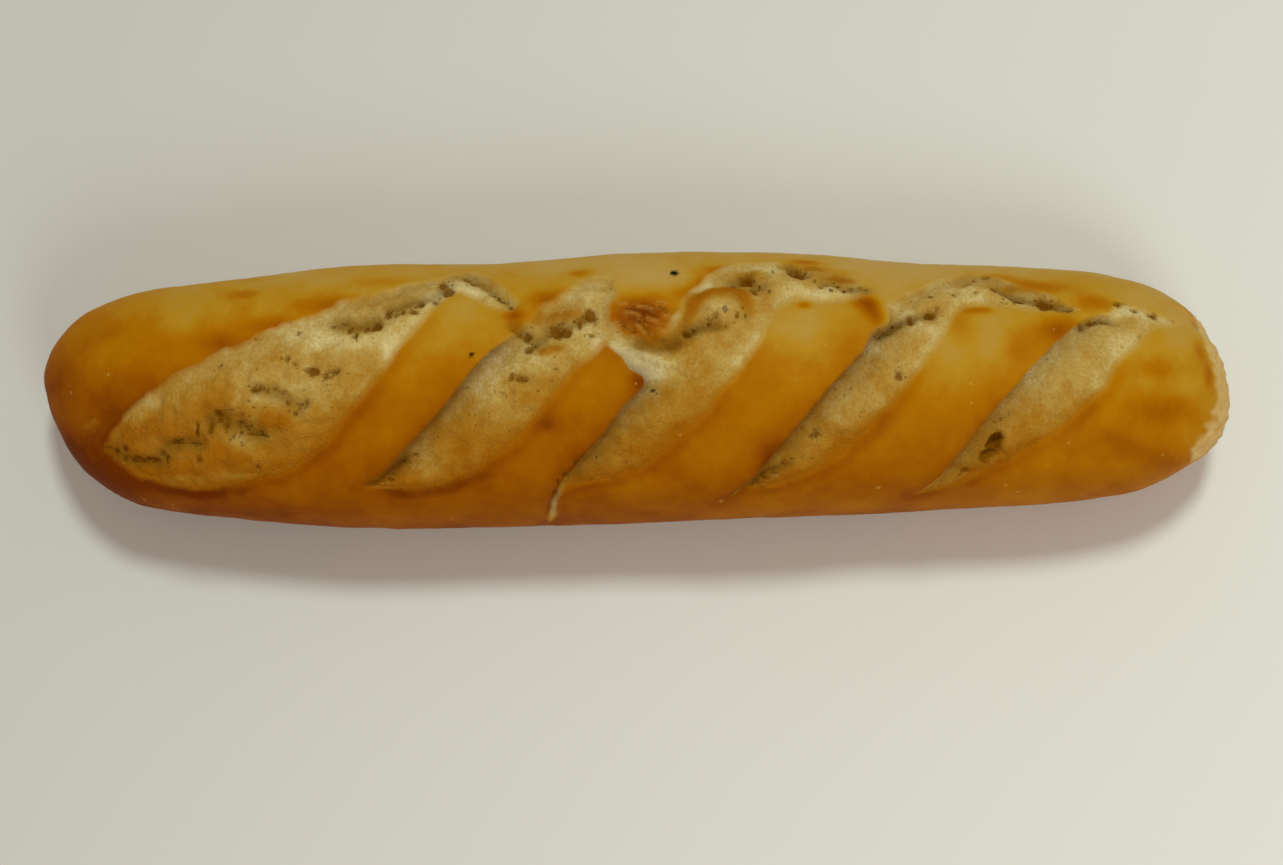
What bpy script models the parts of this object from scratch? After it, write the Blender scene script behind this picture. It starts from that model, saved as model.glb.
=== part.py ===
"""A short baguette with five diagonal slashes, opened in the oven, on a flat baked foot.

The loaf is one solid. A smooth body is lofted from sections along its length. Its skin is measured as a
baker would with a tape: x along the loaf from its middle, and s round it from the crown, positive to the back.
Slashes, ears, torn crumb and burst bubbles are relief on that skin, raised or sunk along its normal.
"""

import bpy
import numpy as np

MM = 0.001

# Body
LENGTH = 250 * MM
REACH = LENGTH / 2
WAIST_HEIGHT = 17 * MM
FOOT_CUT = 3 * MM
FOOT_ROUNDING = 1 * MM
FOOT_LEVEL = 0.12 * MM
CENTRING_Y = -0.2 * MM
UPPER_SQUARENESS = 2.15
LOWER_SQUARENESS = 2.6
END_LIFT_RATE = 1.9
END_LIFT_POWER = 1.15
TIP_BACK_Y = np.array([2.5, -1.2]) * MM
STATIONS = np.array([-124, -119, -110, -95, -70, -35, 0, 35, 70, 95, 110, 119, 124]) * MM
BACK_EDGE = np.array([7.0, 13.4, 18.7, 22.3, 25.2, 26.9, 28.7, 28.9, 26.4, 25.2, 21.4, 13.0, 4.0]) * MM
FRONT_EDGE = -np.array([1.5, 12.0, 21.4, 26.6, 28.4, 28.7, 27.9, 26.9, 25.0, 22.8, 19.0, 13.7, 7.5]) * MM
CROWN_HEIGHT = np.array([20.5, 26.5, 33.0, 38.5, 41.0, 42.0, 42.5, 42.0, 41.0, 38.0, 33.5, 27.0, 20.5]) * MM

# Openings: the blade lifts an ear along one edge, and the crumb runs up to meet the crust at the other.
# Both edges are (x, s) on the skin in millimetres, the ear from the low tip up, then the flush edge back down.
OPENINGS = {
    "left_end": {
        "ear": [(-108.5, -18.5), (-105, -13), (-99.5, -8.5), (-83.5, 0.5), (-64, 9.5), (-41.5, 18), (-33, 21),
                (-27, 16.5), (-23.5, 12)],
        "flush": [(-25, 10), (-29.5, 11), (-35.5, 15), (-43.5, 6), (-54, -7.5), (-65, -20.5), (-75, -25.5),
                  (-89, -28.5), (-100.5, -25.5)],
        "ear_rise": 0.5 * MM,
        "deepest": 3.0 * MM,
    },
    "second": {
        "ear": [(-55, -27.5), (-51, -23.5), (-46, -18), (-40, -11.5), (-29.5, 1), (-24.5, 5), (-22, 7.5),
                (-15, 13), (-13, 16.5), (-9, 19), (-4.5, 17.5), (-3.2, 14), (-5.5, 10), (-5, 5.5)],
        "flush": [(-4.5, 4.5), (-6.5, 2.6), (-12.5, -3), (-22.5, -15.5), (-30.5, -22.5), (-39, -27.5), (-48.5, -28.5)],
        "ear_rise": 1.7 * MM,
        "deepest": 4.2 * MM,
    },
    "middle": {
        "ear": [(-19, -49), (-18, -36), (-16, -27.5), (-7.5, -16), (-3, -9.5), (1.6, -5), (1, -3.5), (-1.5, -2.5),
                (-6.2, 3), (-8, 5), (-6.5, 7), (-2, 5), (5.5, 5), (9, 10.5), (14.5, 18), (23, 24), (31, 23.5),
                (37.5, 24), (45, 19.5), (48, 16.5)],
        "flush": [(44.5, 14.5), (40.5, 13.5), (32, 13.5), (23, 1.5), (11, -13.5), (2, -22), (-6.5, -26), (-13.6, -27.7),
                  (-15.6, -32), (-16.8, -49)],
        "ear_rise": 1.6 * MM,
        "deepest": 4.4 * MM,
    },
    "fourth": {
        "ear": [(17, -33), (24, -23), (29, -16), (35, -9), (40, -3), (45.5, 3), (47, 6), (50.5, 9), (50.5, 12.5),
                (56, 16), (64, 21.5), (71.5, 23), (79.5, 19), (86.5, 15.5), (90, 13)],
        "flush": [(85.5, 13), (80.5, 13), (70.5, 13.5), (67, 13), (61.5, 5.5), (47, -12.5), (38, -21.5), (30, -25.8),
                  (22, -28)],
        "ear_rise": 1.4 * MM,
        "deepest": 3.8 * MM,
    },
    "right_end": {
        "ear": [(55.5, -32.5), (63, -21), (67.5, -14.5), (76.5, -5.5), (84, 2.5), (90.5, 11), (97, 15), (103, 16),
                (112, 13.5)],
        "flush": [(110.5, 11.5), (104.5, 10), (102, 6), (96, -1), (90, -8), (81.5, -14.5), (73.5, -19.5),
                  (67.5, -24.5), (60.5, -30)],
        "ear_rise": 0.9 * MM,
        "deepest": 2.6 * MM,
    },
}
EAR_REACH = 6 * MM
EAR_WALL = 0.9 * MM
EAR_START = 0.22
DEPTH_TO_WIDTH = 0.36
FLUSH_SINK = 0.5 * MM
FLUSH_REACH = 2.2 * MM
CRUMB_SWELL = 0.11
LINE_STEP = 1.2 * MM

# Folds in the torn crumb, as (x, s) lines with their depth and half width, in millimetres
FOLDS = {
    "under_flaky_crust": ([(-4.5, 4.3), (1, 3.3), (5.5, 2.8), (10, 4.5), (17.5, 8.5), (21.5, 10)], 2.6, 1.1),
    "behind_first_strap": ([(-32, 18.6), (-29, 15.8), (-26, 13.4), (-24, 11.3)], 2.2, 0.7),
    "upper_left_row": ([(-60, 5.5), (-55, 7.5), (-46, 8.5), (-42.5, 11.5), (-36.5, 17)], 1.2, 1.0),
    "lower_left_row": ([(-107.5, -19.3), (-97, -21.5), (-88.5, -17.5), (-84, -15.5), (-74.5, -16.5)], 1.5, 1.3),
    "second_tip": ([(-54.5, -27.3), (-50.5, -24.7), (-47, -21.2), (-44, -18.6)], 1.6, 0.6),
    "above_fourth": ([(47.5, 6.2), (51, 7.8), (58, 10.5), (62, 12.5)], 2.0, 0.9),
    "behind_third_strap": ([(31.5, 23.3), (33, 21.7), (35.5, 20.3)], 2.0, 0.9),
    "behind_fourth_strap": ([(72, 20.3), (79.5, 16.9), (83.5, 15), (89.5, 12.7)], 2.2, 0.9),
    "front_crack": ([(-14.8, -26.7), (-16.2, -30), (-17.4, -36), (-17.9, -48)], 1.4, 0.5),
    "fourth_tip": ([(19, -30), (23.5, -25.3), (28, -22.6), (33, -20.5)], 1.4, 0.6),
    "right_top": ([(90, 9.7), (93.5, 11), (98, 11.6)], 1.3, 0.7),
    "third_strap_gap": ([(39.5, 18.7), (42.5, 17.2), (47, 16.2)], 1.8, 0.8),
}

# Burst bubbles that are large enough to model: a row from one (x, s) to another, how many, and their radius
BUBBLES = [
    ((-64, -3.6), (-60.2, -3.8), 2, 1.3),
    ((-69.6, -1.6), (-67.8, -2.2), 2, 0.8),
    ((-75.6, -7.4), (-65.4, -9.4), 5, 0.8),
    ((-88, -15.2), (-78, -16.8), 4, 1.1),
    ((-104, -20.2), (-96, -21.6), 4, 0.9),
    ((-58.5, 6.3), (-50.5, 7.8), 5, 0.8),
    ((-46, 9), (-36, 17.3), 6, 0.9),
    ((-21.8, 2.2), (-18.6, 2.6), 2, 0.9),
    ((-16.8, 6.2), (-5.4, 8.8), 6, 1.1),
    ((-23.6, -4), (-22.6, -3.6), 2, 0.7),
    ((20.4, 17.6), (24, 14.8), 4, 1.0),
    ((52.4, -2.4), (53, -2.6), 1, 1.3),
    ((36.5, -14.8), (36.7, -15.2), 1, 1.6),
    ((54, 9.8), (63, 12.8), 5, 1.0),
    ((32, 22.6), (34, 21), 2, 1.3),
    ((76, 18.7), (88, 13.5), 6, 1.1),
    ((98.5, 15.2), (108, 12.8), 3, 1.0),
    ((70.2, -18.8), (72, -15.8), 3, 1.9),
]
BUBBLE_DEPTH = 1.1
BUBBLE_SEED = 11

# Flaky crust above the middle opening, and the torn rim round the right tip
FLAKY_CENTRE = np.array([1.0, 10.0]) * MM
FLAKY_REACH = np.array([7.5, 5.5]) * MM
FLAKE_PITCH = 2.0 * MM
FLAKE_HEIGHT = 0.6 * MM
FLAKY_SINK = 0.9 * MM
RIM_X = 118.5 * MM
RIM_BOW = 0.010 / MM
RIM_HALF_SPAN = 15 * MM
RIM_GROOVE = 0.7 * MM
RIM_HEIGHT = 0.5 * MM

# Unevenness
BODY_SWELL = 0.55 * MM
BODY_SWELL_CELL = 26 * MM
CRUMB_LUMPS = 0.55 * MM
CRUMB_LUMP_CELL = 3.6 * MM
RIM_LUMP_CELL = 2.2 * MM

# Mesh
LOFT_STATIONS = 330
TOP_ROWS = 150
FOOT_ROWS = 24
TOP_SHARE = 0.80
TRIANGLES = 9000
FOOT_FLATNESS = 0.02 * MM


def smooth_through(at, places, values):
    """A cubic curve through the values at the places, with each slope taken from its neighbours."""
    slopes = np.gradient(values, places)
    i = np.clip(np.searchsorted(places, at) - 1, 0, len(places) - 2)
    gap = places[i + 1] - places[i]
    u = (at - places[i]) / gap
    start = (2 * u**3 - 3 * u**2 + 1) * values[i] + (u**3 - 2 * u**2 + u) * gap * slopes[i]
    end = (3 * u**2 - 2 * u**3) * values[i + 1] + (u**3 - u**2) * gap * slopes[i + 1]
    return start + end


def smooth_step(value):
    """0 below 0, 1 above 1, and a smooth rise between them."""
    held = np.clip(value, 0, 1)
    return held * held * (3 - 2 * held)


def smooth_line(points, step=LINE_STEP):
    """The line through the points, given in millimetres, as points about a step apart on one smooth curve."""
    knots = np.array(points, float) * MM
    along = np.concatenate([[0], np.cumsum(np.linalg.norm(np.diff(knots, axis=0), axis=1))])
    at = np.linspace(0, along[-1], max(3, int(along[-1] / step) + 1))
    return np.stack([smooth_through(at, along, knots[:, k]) for k in (0, 1)], axis=1)


def lumps(x, s, cell, seed):
    """Smooth random relief from -1 to 1: a lattice of random heights a cell apart, blended between its corners."""
    draw = np.random.default_rng(seed)
    heights = draw.uniform(-1, 1, (256, 256))
    u, w = x / cell + 128, s / cell + 128
    i, j = np.floor(u).astype(int), np.floor(w).astype(int)
    fu, fw = smooth_step(u - i), smooth_step(w - j)
    i, j = i % 255, j % 255
    low = heights[i, j] * (1 - fu) + heights[i + 1, j] * fu
    high = heights[i, j + 1] * (1 - fu) + heights[i + 1, j + 1] * fu
    return low * (1 - fw) + high * fw


def sections(t):
    """For each end angle t: x, the middle line's y, the half widths to back and front, the rise and the drop.

    The widths and the rise are written as sin t times a smooth curve, which rounds both ends like an ellipse.
    """
    x = -REACH * np.cos(t)
    roundness = np.sin(t)
    at_stations = np.sqrt(1 - (STATIONS / REACH) ** 2)
    middle = np.interp(x, [-REACH, REACH], TIP_BACK_Y)
    middle_at_stations = np.interp(STATIONS, [-REACH, REACH], TIP_BACK_Y)
    back = roundness * smooth_through(x, STATIONS, (BACK_EDGE - middle_at_stations) / at_stations)
    front = roundness * smooth_through(x, STATIONS, (middle_at_stations - FRONT_EDGE) / at_stations)
    rise = roundness * smooth_through(x, STATIONS, (CROWN_HEIGHT - WAIST_HEIGHT) / at_stations)
    drop = (WAIST_HEIGHT + FOOT_CUT) * np.tanh(END_LIFT_RATE * roundness**END_LIFT_POWER) / np.tanh(END_LIFT_RATE)
    return x, middle, back, front, rise, drop


def section_outline(angle, back, front, rise, drop):
    """A rounded square section at an angle from the crown, cut flat at the foot."""
    up, out = np.cos(angle), np.sin(angle)
    squareness = np.where(up >= 0, UPPER_SQUARENESS, LOWER_SQUARENESS)
    radius = (np.abs(up) ** squareness + np.abs(out) ** squareness) ** (-1 / squareness)
    y = radius * out * np.where(out >= 0, back, front)
    z = WAIST_HEIGHT + radius * up * np.where(up >= 0, rise, drop)
    z = 0.5 * (z + np.sqrt(z * z + FOOT_ROUNDING**2)) - FOOT_LEVEL
    return y, np.maximum(z, 0)


def skin(t, v):
    """Points of the smooth body at end angles t and shares v of the half girth, with x and s for each."""
    rings = sections(t)
    angle = np.linspace(0, np.pi, 361)
    points = np.zeros((len(t), len(v), 3))
    s = np.zeros((len(t), len(v)))
    points[:, :, 0] = rings[0][:, None]
    for side in (-1, 1):
        on_side = v * side > 0 if side < 0 else v >= 0
        for i, (_, middle, back, front, rise, drop) in enumerate(zip(*rings)):
            y, z = section_outline(side * angle, back, front, rise, drop)
            girth = np.concatenate([[0], np.cumsum(np.hypot(np.diff(y), np.diff(z)))])
            at = np.abs(v[on_side]) * girth[-1]
            points[i, on_side, 1] = middle + np.interp(at, girth, y)
            points[i, on_side, 2] = np.interp(at, girth, z)
            s[i, on_side] = side * at
    return points, np.broadcast_to(rings[0][:, None], s.shape), s


def nearest(line, x, s):
    """Distance from each (x, s) to the line, and how far along it the nearest point is, from 0 to 1."""
    start, run = line[:-1], np.diff(line, axis=0)
    lengths = np.linalg.norm(run, axis=1)
    before = np.concatenate([[0], np.cumsum(lengths)])
    best = np.full(x.shape, np.inf)
    share = np.zeros(x.shape)
    for k in range(len(run)):
        dx, ds = x - start[k, 0], s - start[k, 1]
        u = np.clip((dx * run[k, 0] + ds * run[k, 1]) / lengths[k] ** 2, 0, 1)
        distance = np.hypot(dx - u * run[k, 0], ds - u * run[k, 1])
        closer = distance < best
        best = np.where(closer, distance, best)
        share = np.where(closer, (before[k] + u * lengths[k]) / before[-1], share)
    return best, share


def inside(outline, x, s):
    """Whether each (x, s) lies in the closed outline, by counting the edges above it."""
    found = np.zeros(x.shape, bool)
    for (x0, s0), (x1, s1) in zip(outline, np.roll(outline, -1, axis=0)):
        crosses = (x0 > x) != (x1 > x)
        level = s0 + (s1 - s0) * (x - x0) / np.where(x1 == x0, 1, x1 - x0)
        found ^= crosses & (s < level)
    return found


def opening_relief(opening, x, s):
    """Height of the skin round one opening, and where its crumb shows.

    Outside, the crust rises towards the ear and sinks a little at the flush edge. Inside, the crumb is deepest
    beside the ear, swells in its middle and runs up to the flush edge.
    """
    ear, flush = smooth_line(opening["ear"]), smooth_line(opening["flush"])
    to_ear, along_ear = nearest(ear, x, s)
    to_flush, _ = nearest(flush, x, s)
    crumb = inside(np.concatenate([ear, flush]), x, s)
    ear_weight = smooth_step(along_ear / EAR_START)
    crust = opening["ear_rise"] * ear_weight * np.exp(-to_ear / EAR_REACH)
    crust -= FLUSH_SINK * np.exp(-to_flush / FLUSH_REACH)
    width = to_ear + to_flush
    across = to_ear / np.maximum(width, 1e-9)
    wall = 1 - np.exp(-((to_ear / EAR_WALL) ** 2))
    depth = np.minimum(opening["deepest"], DEPTH_TO_WIDTH * width) * (1 - across) ** 1.4
    swell = CRUMB_SWELL * np.minimum(width, 12 * MM) * np.sin(np.pi * across)
    edge_fade = smooth_step(np.minimum(to_ear, to_flush) / (1.5 * MM))
    rough = CRUMB_LUMPS * edge_fade * lumps(x, s, CRUMB_LUMP_CELL, 5)
    floor = (swell - depth) * wall + rough
    return np.where(crumb, crust * np.exp(-((to_ear / EAR_WALL) ** 2)) + floor, crust), crumb


def fold_relief(x, s):
    """Creases in the torn crumb, each a groove of its own depth."""
    sunk = np.zeros(x.shape)
    for points, depth, half_width in FOLDS.values():
        away, along = nearest(smooth_line(points), x, s)
        ends = smooth_step(along / 0.15) * smooth_step((1 - along) / 0.15)
        sunk = np.maximum(sunk, depth * MM * ends * np.exp(-((away / (half_width * MM)) ** 2)))
    return -sunk


def bubble_relief(x, s):
    """Burst bubbles, each a pit with steep sides, in rows with a seeded scatter."""
    draw = np.random.default_rng(BUBBLE_SEED)
    sunk = np.zeros(x.shape)
    for start, end, count, radius in BUBBLES:
        for share in (np.arange(count) + 0.5) / count:
            size = radius * draw.uniform(0.75, 1.2) * MM
            shift = draw.uniform(-0.5, 0.5, 2) * radius
            centre = (np.array(start) + (np.array(end) - np.array(start)) * share + shift) * MM
            away = np.hypot(x - centre[0], s - centre[1]) / size
            sunk = np.maximum(sunk, BUBBLE_DEPTH * size * np.clip(1 - away**3, 0, 1))
    return -sunk


def flaky_relief(x, s):
    """Torn layers of crust above the middle opening: sunk, and stepped like a stack of flakes."""
    away = np.hypot((x - FLAKY_CENTRE[0]) / FLAKY_REACH[0], (s - FLAKY_CENTRE[1]) / FLAKY_REACH[1])
    there = smooth_step((1.15 - away) / 0.35)
    phase = s / FLAKE_PITCH + 0.8 * lumps(x, s, 4 * MM, 8)
    return there * (FLAKE_HEIGHT * (phase - np.floor(phase)) - FLAKY_SINK)


def rim_relief(x, s):
    """The right tip's torn rim: a shallow groove, and rough crust raised beyond it."""
    groove_x = RIM_X - RIM_BOW * s**2
    beyond = x - groove_x
    span = smooth_step((RIM_HALF_SPAN - np.abs(s)) / (5 * MM))
    groove = RIM_GROOVE * np.exp(-((beyond / (1 * MM)) ** 2))
    raised = RIM_HEIGHT * smooth_step(beyond / (2 * MM)) * (1 + 0.8 * lumps(x, s, RIM_LUMP_CELL, 9))
    return span * (raised - groove)


def relief(x, s):
    """Height added to the smooth body along its normal."""
    height = BODY_SWELL * lumps(x, s, BODY_SWELL_CELL, 3)
    torn = np.zeros(x.shape, bool)
    for opening in OPENINGS.values():
        change, crumb = opening_relief(opening, x, s)
        height = height + change
        torn |= crumb
    height = height + fold_relief(x, s) + rim_relief(x, s)
    return height + np.where(torn, bubble_relief(x, s), flaky_relief(x, s))


def normals(points):
    """Outward unit normals of a closed ring lattice, from the differences along and round it."""
    along = np.gradient(points, axis=0)
    padded = np.concatenate([points[:, -1:], points, points[:, :1]], axis=1)
    around = padded[:, 2:] - padded[:, :-2]
    cross = np.cross(along, around)
    return cross / np.maximum(np.linalg.norm(cross, axis=2, keepdims=True), 1e-12)


def loaf_vertices(t, v):
    """The skin with its relief, which fades out towards the flat foot."""
    points, x, s = skin(t, v)
    outward = normals(points)
    centre = points.mean(axis=1, keepdims=True)
    outward *= np.sign((outward * (points - centre)).sum(axis=2, keepdims=True).mean())
    above_foot = smooth_step((points[:, :, 2] - 0.5 * MM) / (8 * MM))
    tips = smooth_step(np.sin(t) / 0.12)[:, None]
    points = points + outward * (relief(x, s) * above_foot * tips)[:, :, None]
    points[:, :, 1] += CENTRING_Y
    points[:, :, 2] = np.maximum(points[:, :, 2], 0)
    return points


def row_shares():
    """Shares of the half girth: close together over the top, wider apart under the foot, and closed at the foot."""
    top = np.linspace(-TOP_SHARE, TOP_SHARE, TOP_ROWS)
    foot = np.linspace(TOP_SHARE, 2 - TOP_SHARE, FOOT_ROWS + 2)[1:-1]
    return np.concatenate([top, np.where(foot > 1, foot - 2, foot)])


def loaf_mesh():
    """The closed mesh of the loaf: rings of quads, and a fan of triangles at each tip."""
    t = np.linspace(0, np.pi, LOFT_STATIONS + 2)[1:-1]
    v = row_shares()
    lattice = loaf_vertices(t, v)
    stations, rows = lattice.shape[:2]
    tips = [lattice[0].mean(axis=0), lattice[-1].mean(axis=0)]
    tips[0][0], tips[1][0] = -REACH, REACH
    vertices = np.concatenate([lattice.reshape(-1, 3), tips])
    i, j = np.meshgrid(np.arange(stations - 1), np.arange(rows), indexing="ij")
    following = (j + 1) % rows
    quads = np.stack([i * rows + j, (i + 1) * rows + j, (i + 1) * rows + following, i * rows + following], axis=-1)
    faces = quads.reshape(-1, 4).tolist()
    last = (stations - 1) * rows
    for row in range(rows):
        after = (row + 1) % rows
        faces.append((row, after, stations * rows))
        faces.append((last + after, last + row, stations * rows + 1))
    mesh = bpy.data.meshes.new("baguette")
    mesh.from_pydata(vertices.tolist(), [], faces)
    mesh.validate()
    return mesh


def crust_material():
    """Golden brown baked crust."""
    material = bpy.data.materials.new("baked_crust")
    material.use_nodes = True
    shader = material.node_tree.nodes["Principled BSDF"]
    shader.inputs["Base Color"].default_value = (0.44, 0.20, 0.03, 1)
    shader.inputs["Roughness"].default_value = 0.42
    shader.inputs["Metallic"].default_value = 0
    return material


def clear_scene():
    for old in list(bpy.data.objects):
        bpy.data.objects.remove(old)


def face_outwards(mesh):
    """Turns every face round if the mesh encloses a negative volume."""
    mesh.calc_loop_triangles()
    corners = np.array([[mesh.vertices[k].co[:] for k in face.vertices] for face in mesh.loop_triangles])
    volume = np.einsum("ij,ij->i", corners[:, 0], np.cross(corners[:, 1], corners[:, 2])).sum() / 6
    if volume < 0:
        mesh.flip_normals()


def thin_out(loaf):
    """Collapses short edges where the skin is nearly flat, and puts the foot back on its plane."""
    fine = loaf.data
    fewer = loaf.modifiers.new("fewer_faces", "DECIMATE")
    fewer.ratio = TRIANGLES / sum(len(face.vertices) - 2 for face in fine.polygons)
    fewer.use_collapse_triangulate = True
    evaluated = loaf.evaluated_get(bpy.context.evaluated_depsgraph_get())
    loaf.data = bpy.data.meshes.new_from_object(evaluated)
    loaf.modifiers.remove(fewer)
    bpy.data.meshes.remove(fine)
    loaf.data.name = "baguette"
    for vertex in loaf.data.vertices:
        if vertex.co.z < FOOT_FLATNESS:
            vertex.co.z = 0


def main():
    clear_scene()
    mesh = loaf_mesh()
    face_outwards(mesh)
    mesh.shade_smooth()
    mesh.materials.append(crust_material())
    loaf = bpy.data.objects.new("baguette", mesh)
    bpy.context.scene.collection.objects.link(loaf)
    thin_out(loaf)


main()
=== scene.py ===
"""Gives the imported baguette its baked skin, its torn crumb and a plain studio round it.

The skin is measured as a baker would with a tape: x along the loaf from its middle, and s round it from the
crown, positive to the back, both in millimetres. Every opening, fold, burst bubble and toasted spot has its
place in x and s, and the loaf's surface is worked out from them on one grid.
"""

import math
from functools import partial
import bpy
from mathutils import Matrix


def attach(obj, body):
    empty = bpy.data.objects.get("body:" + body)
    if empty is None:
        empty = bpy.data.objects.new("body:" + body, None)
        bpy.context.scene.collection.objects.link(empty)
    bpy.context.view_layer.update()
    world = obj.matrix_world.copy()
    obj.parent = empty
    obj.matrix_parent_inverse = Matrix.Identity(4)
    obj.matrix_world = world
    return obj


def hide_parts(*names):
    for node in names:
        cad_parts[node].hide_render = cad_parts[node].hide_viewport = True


bl_info = {
    "name": "Baguette Looks",
    "version": (1, 0, 0),
    "blender": (4, 5, 0),
    "location": "View3D > Sidebar > Baguette",
    "description": "Builds the baked surface of a short baguette with opened slashes, and its studio",
    "category": "Object",
}

import bpy
import numpy as np
from bpy.props import FloatProperty, FloatVectorProperty, PointerProperty
from mathutils import Quaternion, Vector

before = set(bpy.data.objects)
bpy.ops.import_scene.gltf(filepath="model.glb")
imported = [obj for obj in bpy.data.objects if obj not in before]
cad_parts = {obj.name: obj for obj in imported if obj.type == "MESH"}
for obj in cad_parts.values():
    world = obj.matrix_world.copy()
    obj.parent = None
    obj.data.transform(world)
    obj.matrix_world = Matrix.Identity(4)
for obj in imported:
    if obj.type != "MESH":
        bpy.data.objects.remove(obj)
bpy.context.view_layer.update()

MM = 0.001
PIECE = "loaf"

# The smooth body, in millimetres
REACH = 125.0
WAIST_HEIGHT = 17.0
FOOT_CUT = 3.0
FOOT_ROUNDING = 1.0
FOOT_LEVEL = 0.12
CENTRING_Y = -0.2
UPPER_SQUARENESS = 2.15
LOWER_SQUARENESS = 2.6
END_LIFT_RATE = 1.9
END_LIFT_POWER = 1.15
TIP_BACK_Y = np.array([2.5, -1.2])
STATIONS = np.array([-124, -119, -110, -95, -70, -35, 0, 35, 70, 95, 110, 119, 124.0])
BACK_EDGE = np.array([7.2, 13.7, 18.5, 21.5, 25.0, 26.4, 28.7, 29.2, 27.2, 25.6, 21.5, 14.4, 4.8])
FRONT_EDGE = -np.array([3.4, 13.2, 21.3, 25.7, 28.5, 28.8, 27.4, 26.0, 23.9, 22.2, 18.4, 12.8, 6.2])
CROWN_HEIGHT = np.array([20.5, 26.5, 33.0, 38.5, 41.0, 42.0, 42.5, 42.0, 41.0, 38.0, 33.5, 27.0, 20.5])

# Openings. The blade lifts an ear along one edge, and the crumb runs up to meet the crust at the flush edge.
# rise is the ear's height at shares of its edge, and tear is how ragged the edge is there.
OPENINGS = {
    "left_end": {
        "ear": [(-108.7, -18.6), (-105.2, -13.2), (-99.8, -8.6), (-83.8, 0.5), (-64.4, 9.8), (-42.1, 18.8),
                (-33.6, 22.3), (-27.6, 17.3), (-24.1, 12.8)],
        "flush": [(-25.6, 10.7), (-30, 11.7), (-36.1, 15.7), (-44.1, 6.5), (-54.4, -7.1), (-65.3, -20.3),
                  (-75.2, -25.3), (-89.4, -28.8), (-100.9, -25.8)],
        "rise": ([0, 0.15, 0.7, 0.85, 1], [0, 0.3, 0.4, 0.7, 0.2]),
        "tear": ([0, 0.5, 0.75, 1], [0.5, 0.45, 0.7, 0.6]),
        "deepest": 1.6,
        "overhang": 0.0,
    },
    "second": {
        "ear": [(-55.2, -26.9), (-51.4, -23), (-46.4, -17.5), (-40.4, -11.1), (-30, 1.5), (-24.9, 5.5),
                (-22.4, 8.1), (-15.5, 13.9), (-13.6, 17.3), (-9.6, 19.9), (-5.1, 18.3), (-3.8, 14.7),
                (-6, 10.8), (-5.5, 6.1)],
        "flush": [(-5, 5.2), (-7, 3.2), (-12.9, -2.4), (-23, -14.9), (-30.9, -21.8), (-39.3, -26.7),
                  (-48.8, -27.8)],
        "rise": ([0, 0.2, 0.5, 0.58, 1], [0, 1.4, 1.3, 0.3, 0.3]),
        "tear": ([0, 0.5, 0.58, 1], [0.06, 0.06, 0.7, 0.7]),
        "deepest": 2.8,
        "overhang": 0.35,
    },
    "middle": {
        "ear": [(-18.2, -46), (-17.9, -36), (-16.9, -30), (-15.9, -26.6), (-12.8, -21.2), (-8.1, -15.4),
                (-3.3, -9), (-0.3, -5.9), (0.9, -4.6), (0.8, -3.5), (-0.6, -2.7), (-1.8, -1.9), (-3.3, 0.7),
                (-6.2, 3.7), (-8.5, 5.6), (-7.1, 7.8), (-2.4, 5.7), (5, 5.7), (8.4, 11.3), (13.9, 18.9),
                (22.5, 25.2), (30.4, 24.7), (36.9, 25.2), (44.4, 20.6), (47.4, 17.6)],
        "flush": [(44, 15.6), (40, 14.6), (31.4, 14.5), (22.6, 2.3), (10.7, -12.8), (1.6, -21.1),
                  (-6.8, -25), (-13.2, -26.6), (-15.1, -28.4), (-16.3, -32), (-16.9, -40)],
        "rise": ([0, 0.14, 0.22, 0.40, 0.46, 0.7, 1], [0, 0.1, 1.4, 1.3, 0.3, 0.3, 0.3]),
        "tear": ([0, 0.14, 0.2, 0.42, 0.5, 1], [0.4, 0.3, 0.08, 0.1, 0.6, 0.7]),
        "deepest": 2.6,
        "overhang": 0.35,
    },
    "fourth": {
        "ear": [(16.6, -32), (23.6, -22.2), (28.7, -15.1), (34.6, -8.1), (39.5, -2.1), (45, 4), (46.6, 7.1),
                (50, 10), (49.9, 13.5), (55.4, 17.1), (63.4, 22.6), (70.9, 24.2), (79, 20.4), (86, 16.9),
                (89.5, 14.2)],
        "flush": [(85, 14.2), (80, 14.3), (70, 14.7), (66.5, 14.2), (61, 6.6), (46.6, -11.6), (37.6, -20.5),
                  (29.6, -24.8), (21.7, -27)],
        "rise": ([0, 0.18, 0.5, 0.6, 0.8, 1], [0, 1.2, 1.3, 0.3, 0.5, 0.4]),
        "tear": ([0, 0.45, 0.55, 0.8, 0.9, 1], [0.06, 0.08, 0.7, 0.6, 0.3, 0.4]),
        "deepest": 3.0,
        "overhang": 0.25,
    },
    "right_end": {
        "ear": [(56, -31), (61, -23.2), (64.9, -15.9), (69, -10), (77, -0.8), (84.5, 7), (88.4, 10.3),
                (91, 12), (94.4, 13.2), (96.4, 13.8), (97.2, 15.8), (98.9, 17.2), (103.3, 16.4),
                (107.8, 14.9), (111.2, 13.4)],
        "flush": [(109.4, 12.4), (106.5, 11.6), (103.2, 9.9), (101, 6.7), (97, 3), (94.8, -1), (89, -7.3),
                  (84.4, -11.4), (77.5, -16.4), (73.3, -19.2), (69, -22.8), (60, -29.5)],
        "rise": ([0, 0.2, 0.7, 0.8, 1], [0, 0.9, 0.8, 0.3, 0.2]),
        "tear": ([0, 0.7, 0.8, 1], [0.08, 0.12, 0.6, 0.6]),
        "deepest": 2.0,
        "overhang": 0.2,
    },
}
FLUSH_TEAR = 0.3
EDGE_STEP = 0.6
EAR_REACH = 6.0
DEPTH_TO_WIDTH = 0.36
FLUSH_SINK = 0.28
FLUSH_REACH = 2.2
CRUMB_SWELL = 0.11
LIP_PLACES = np.array([0.0, 0.5, 1.0, 1.6, 2.4, 3.6, 5.0])
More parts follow.
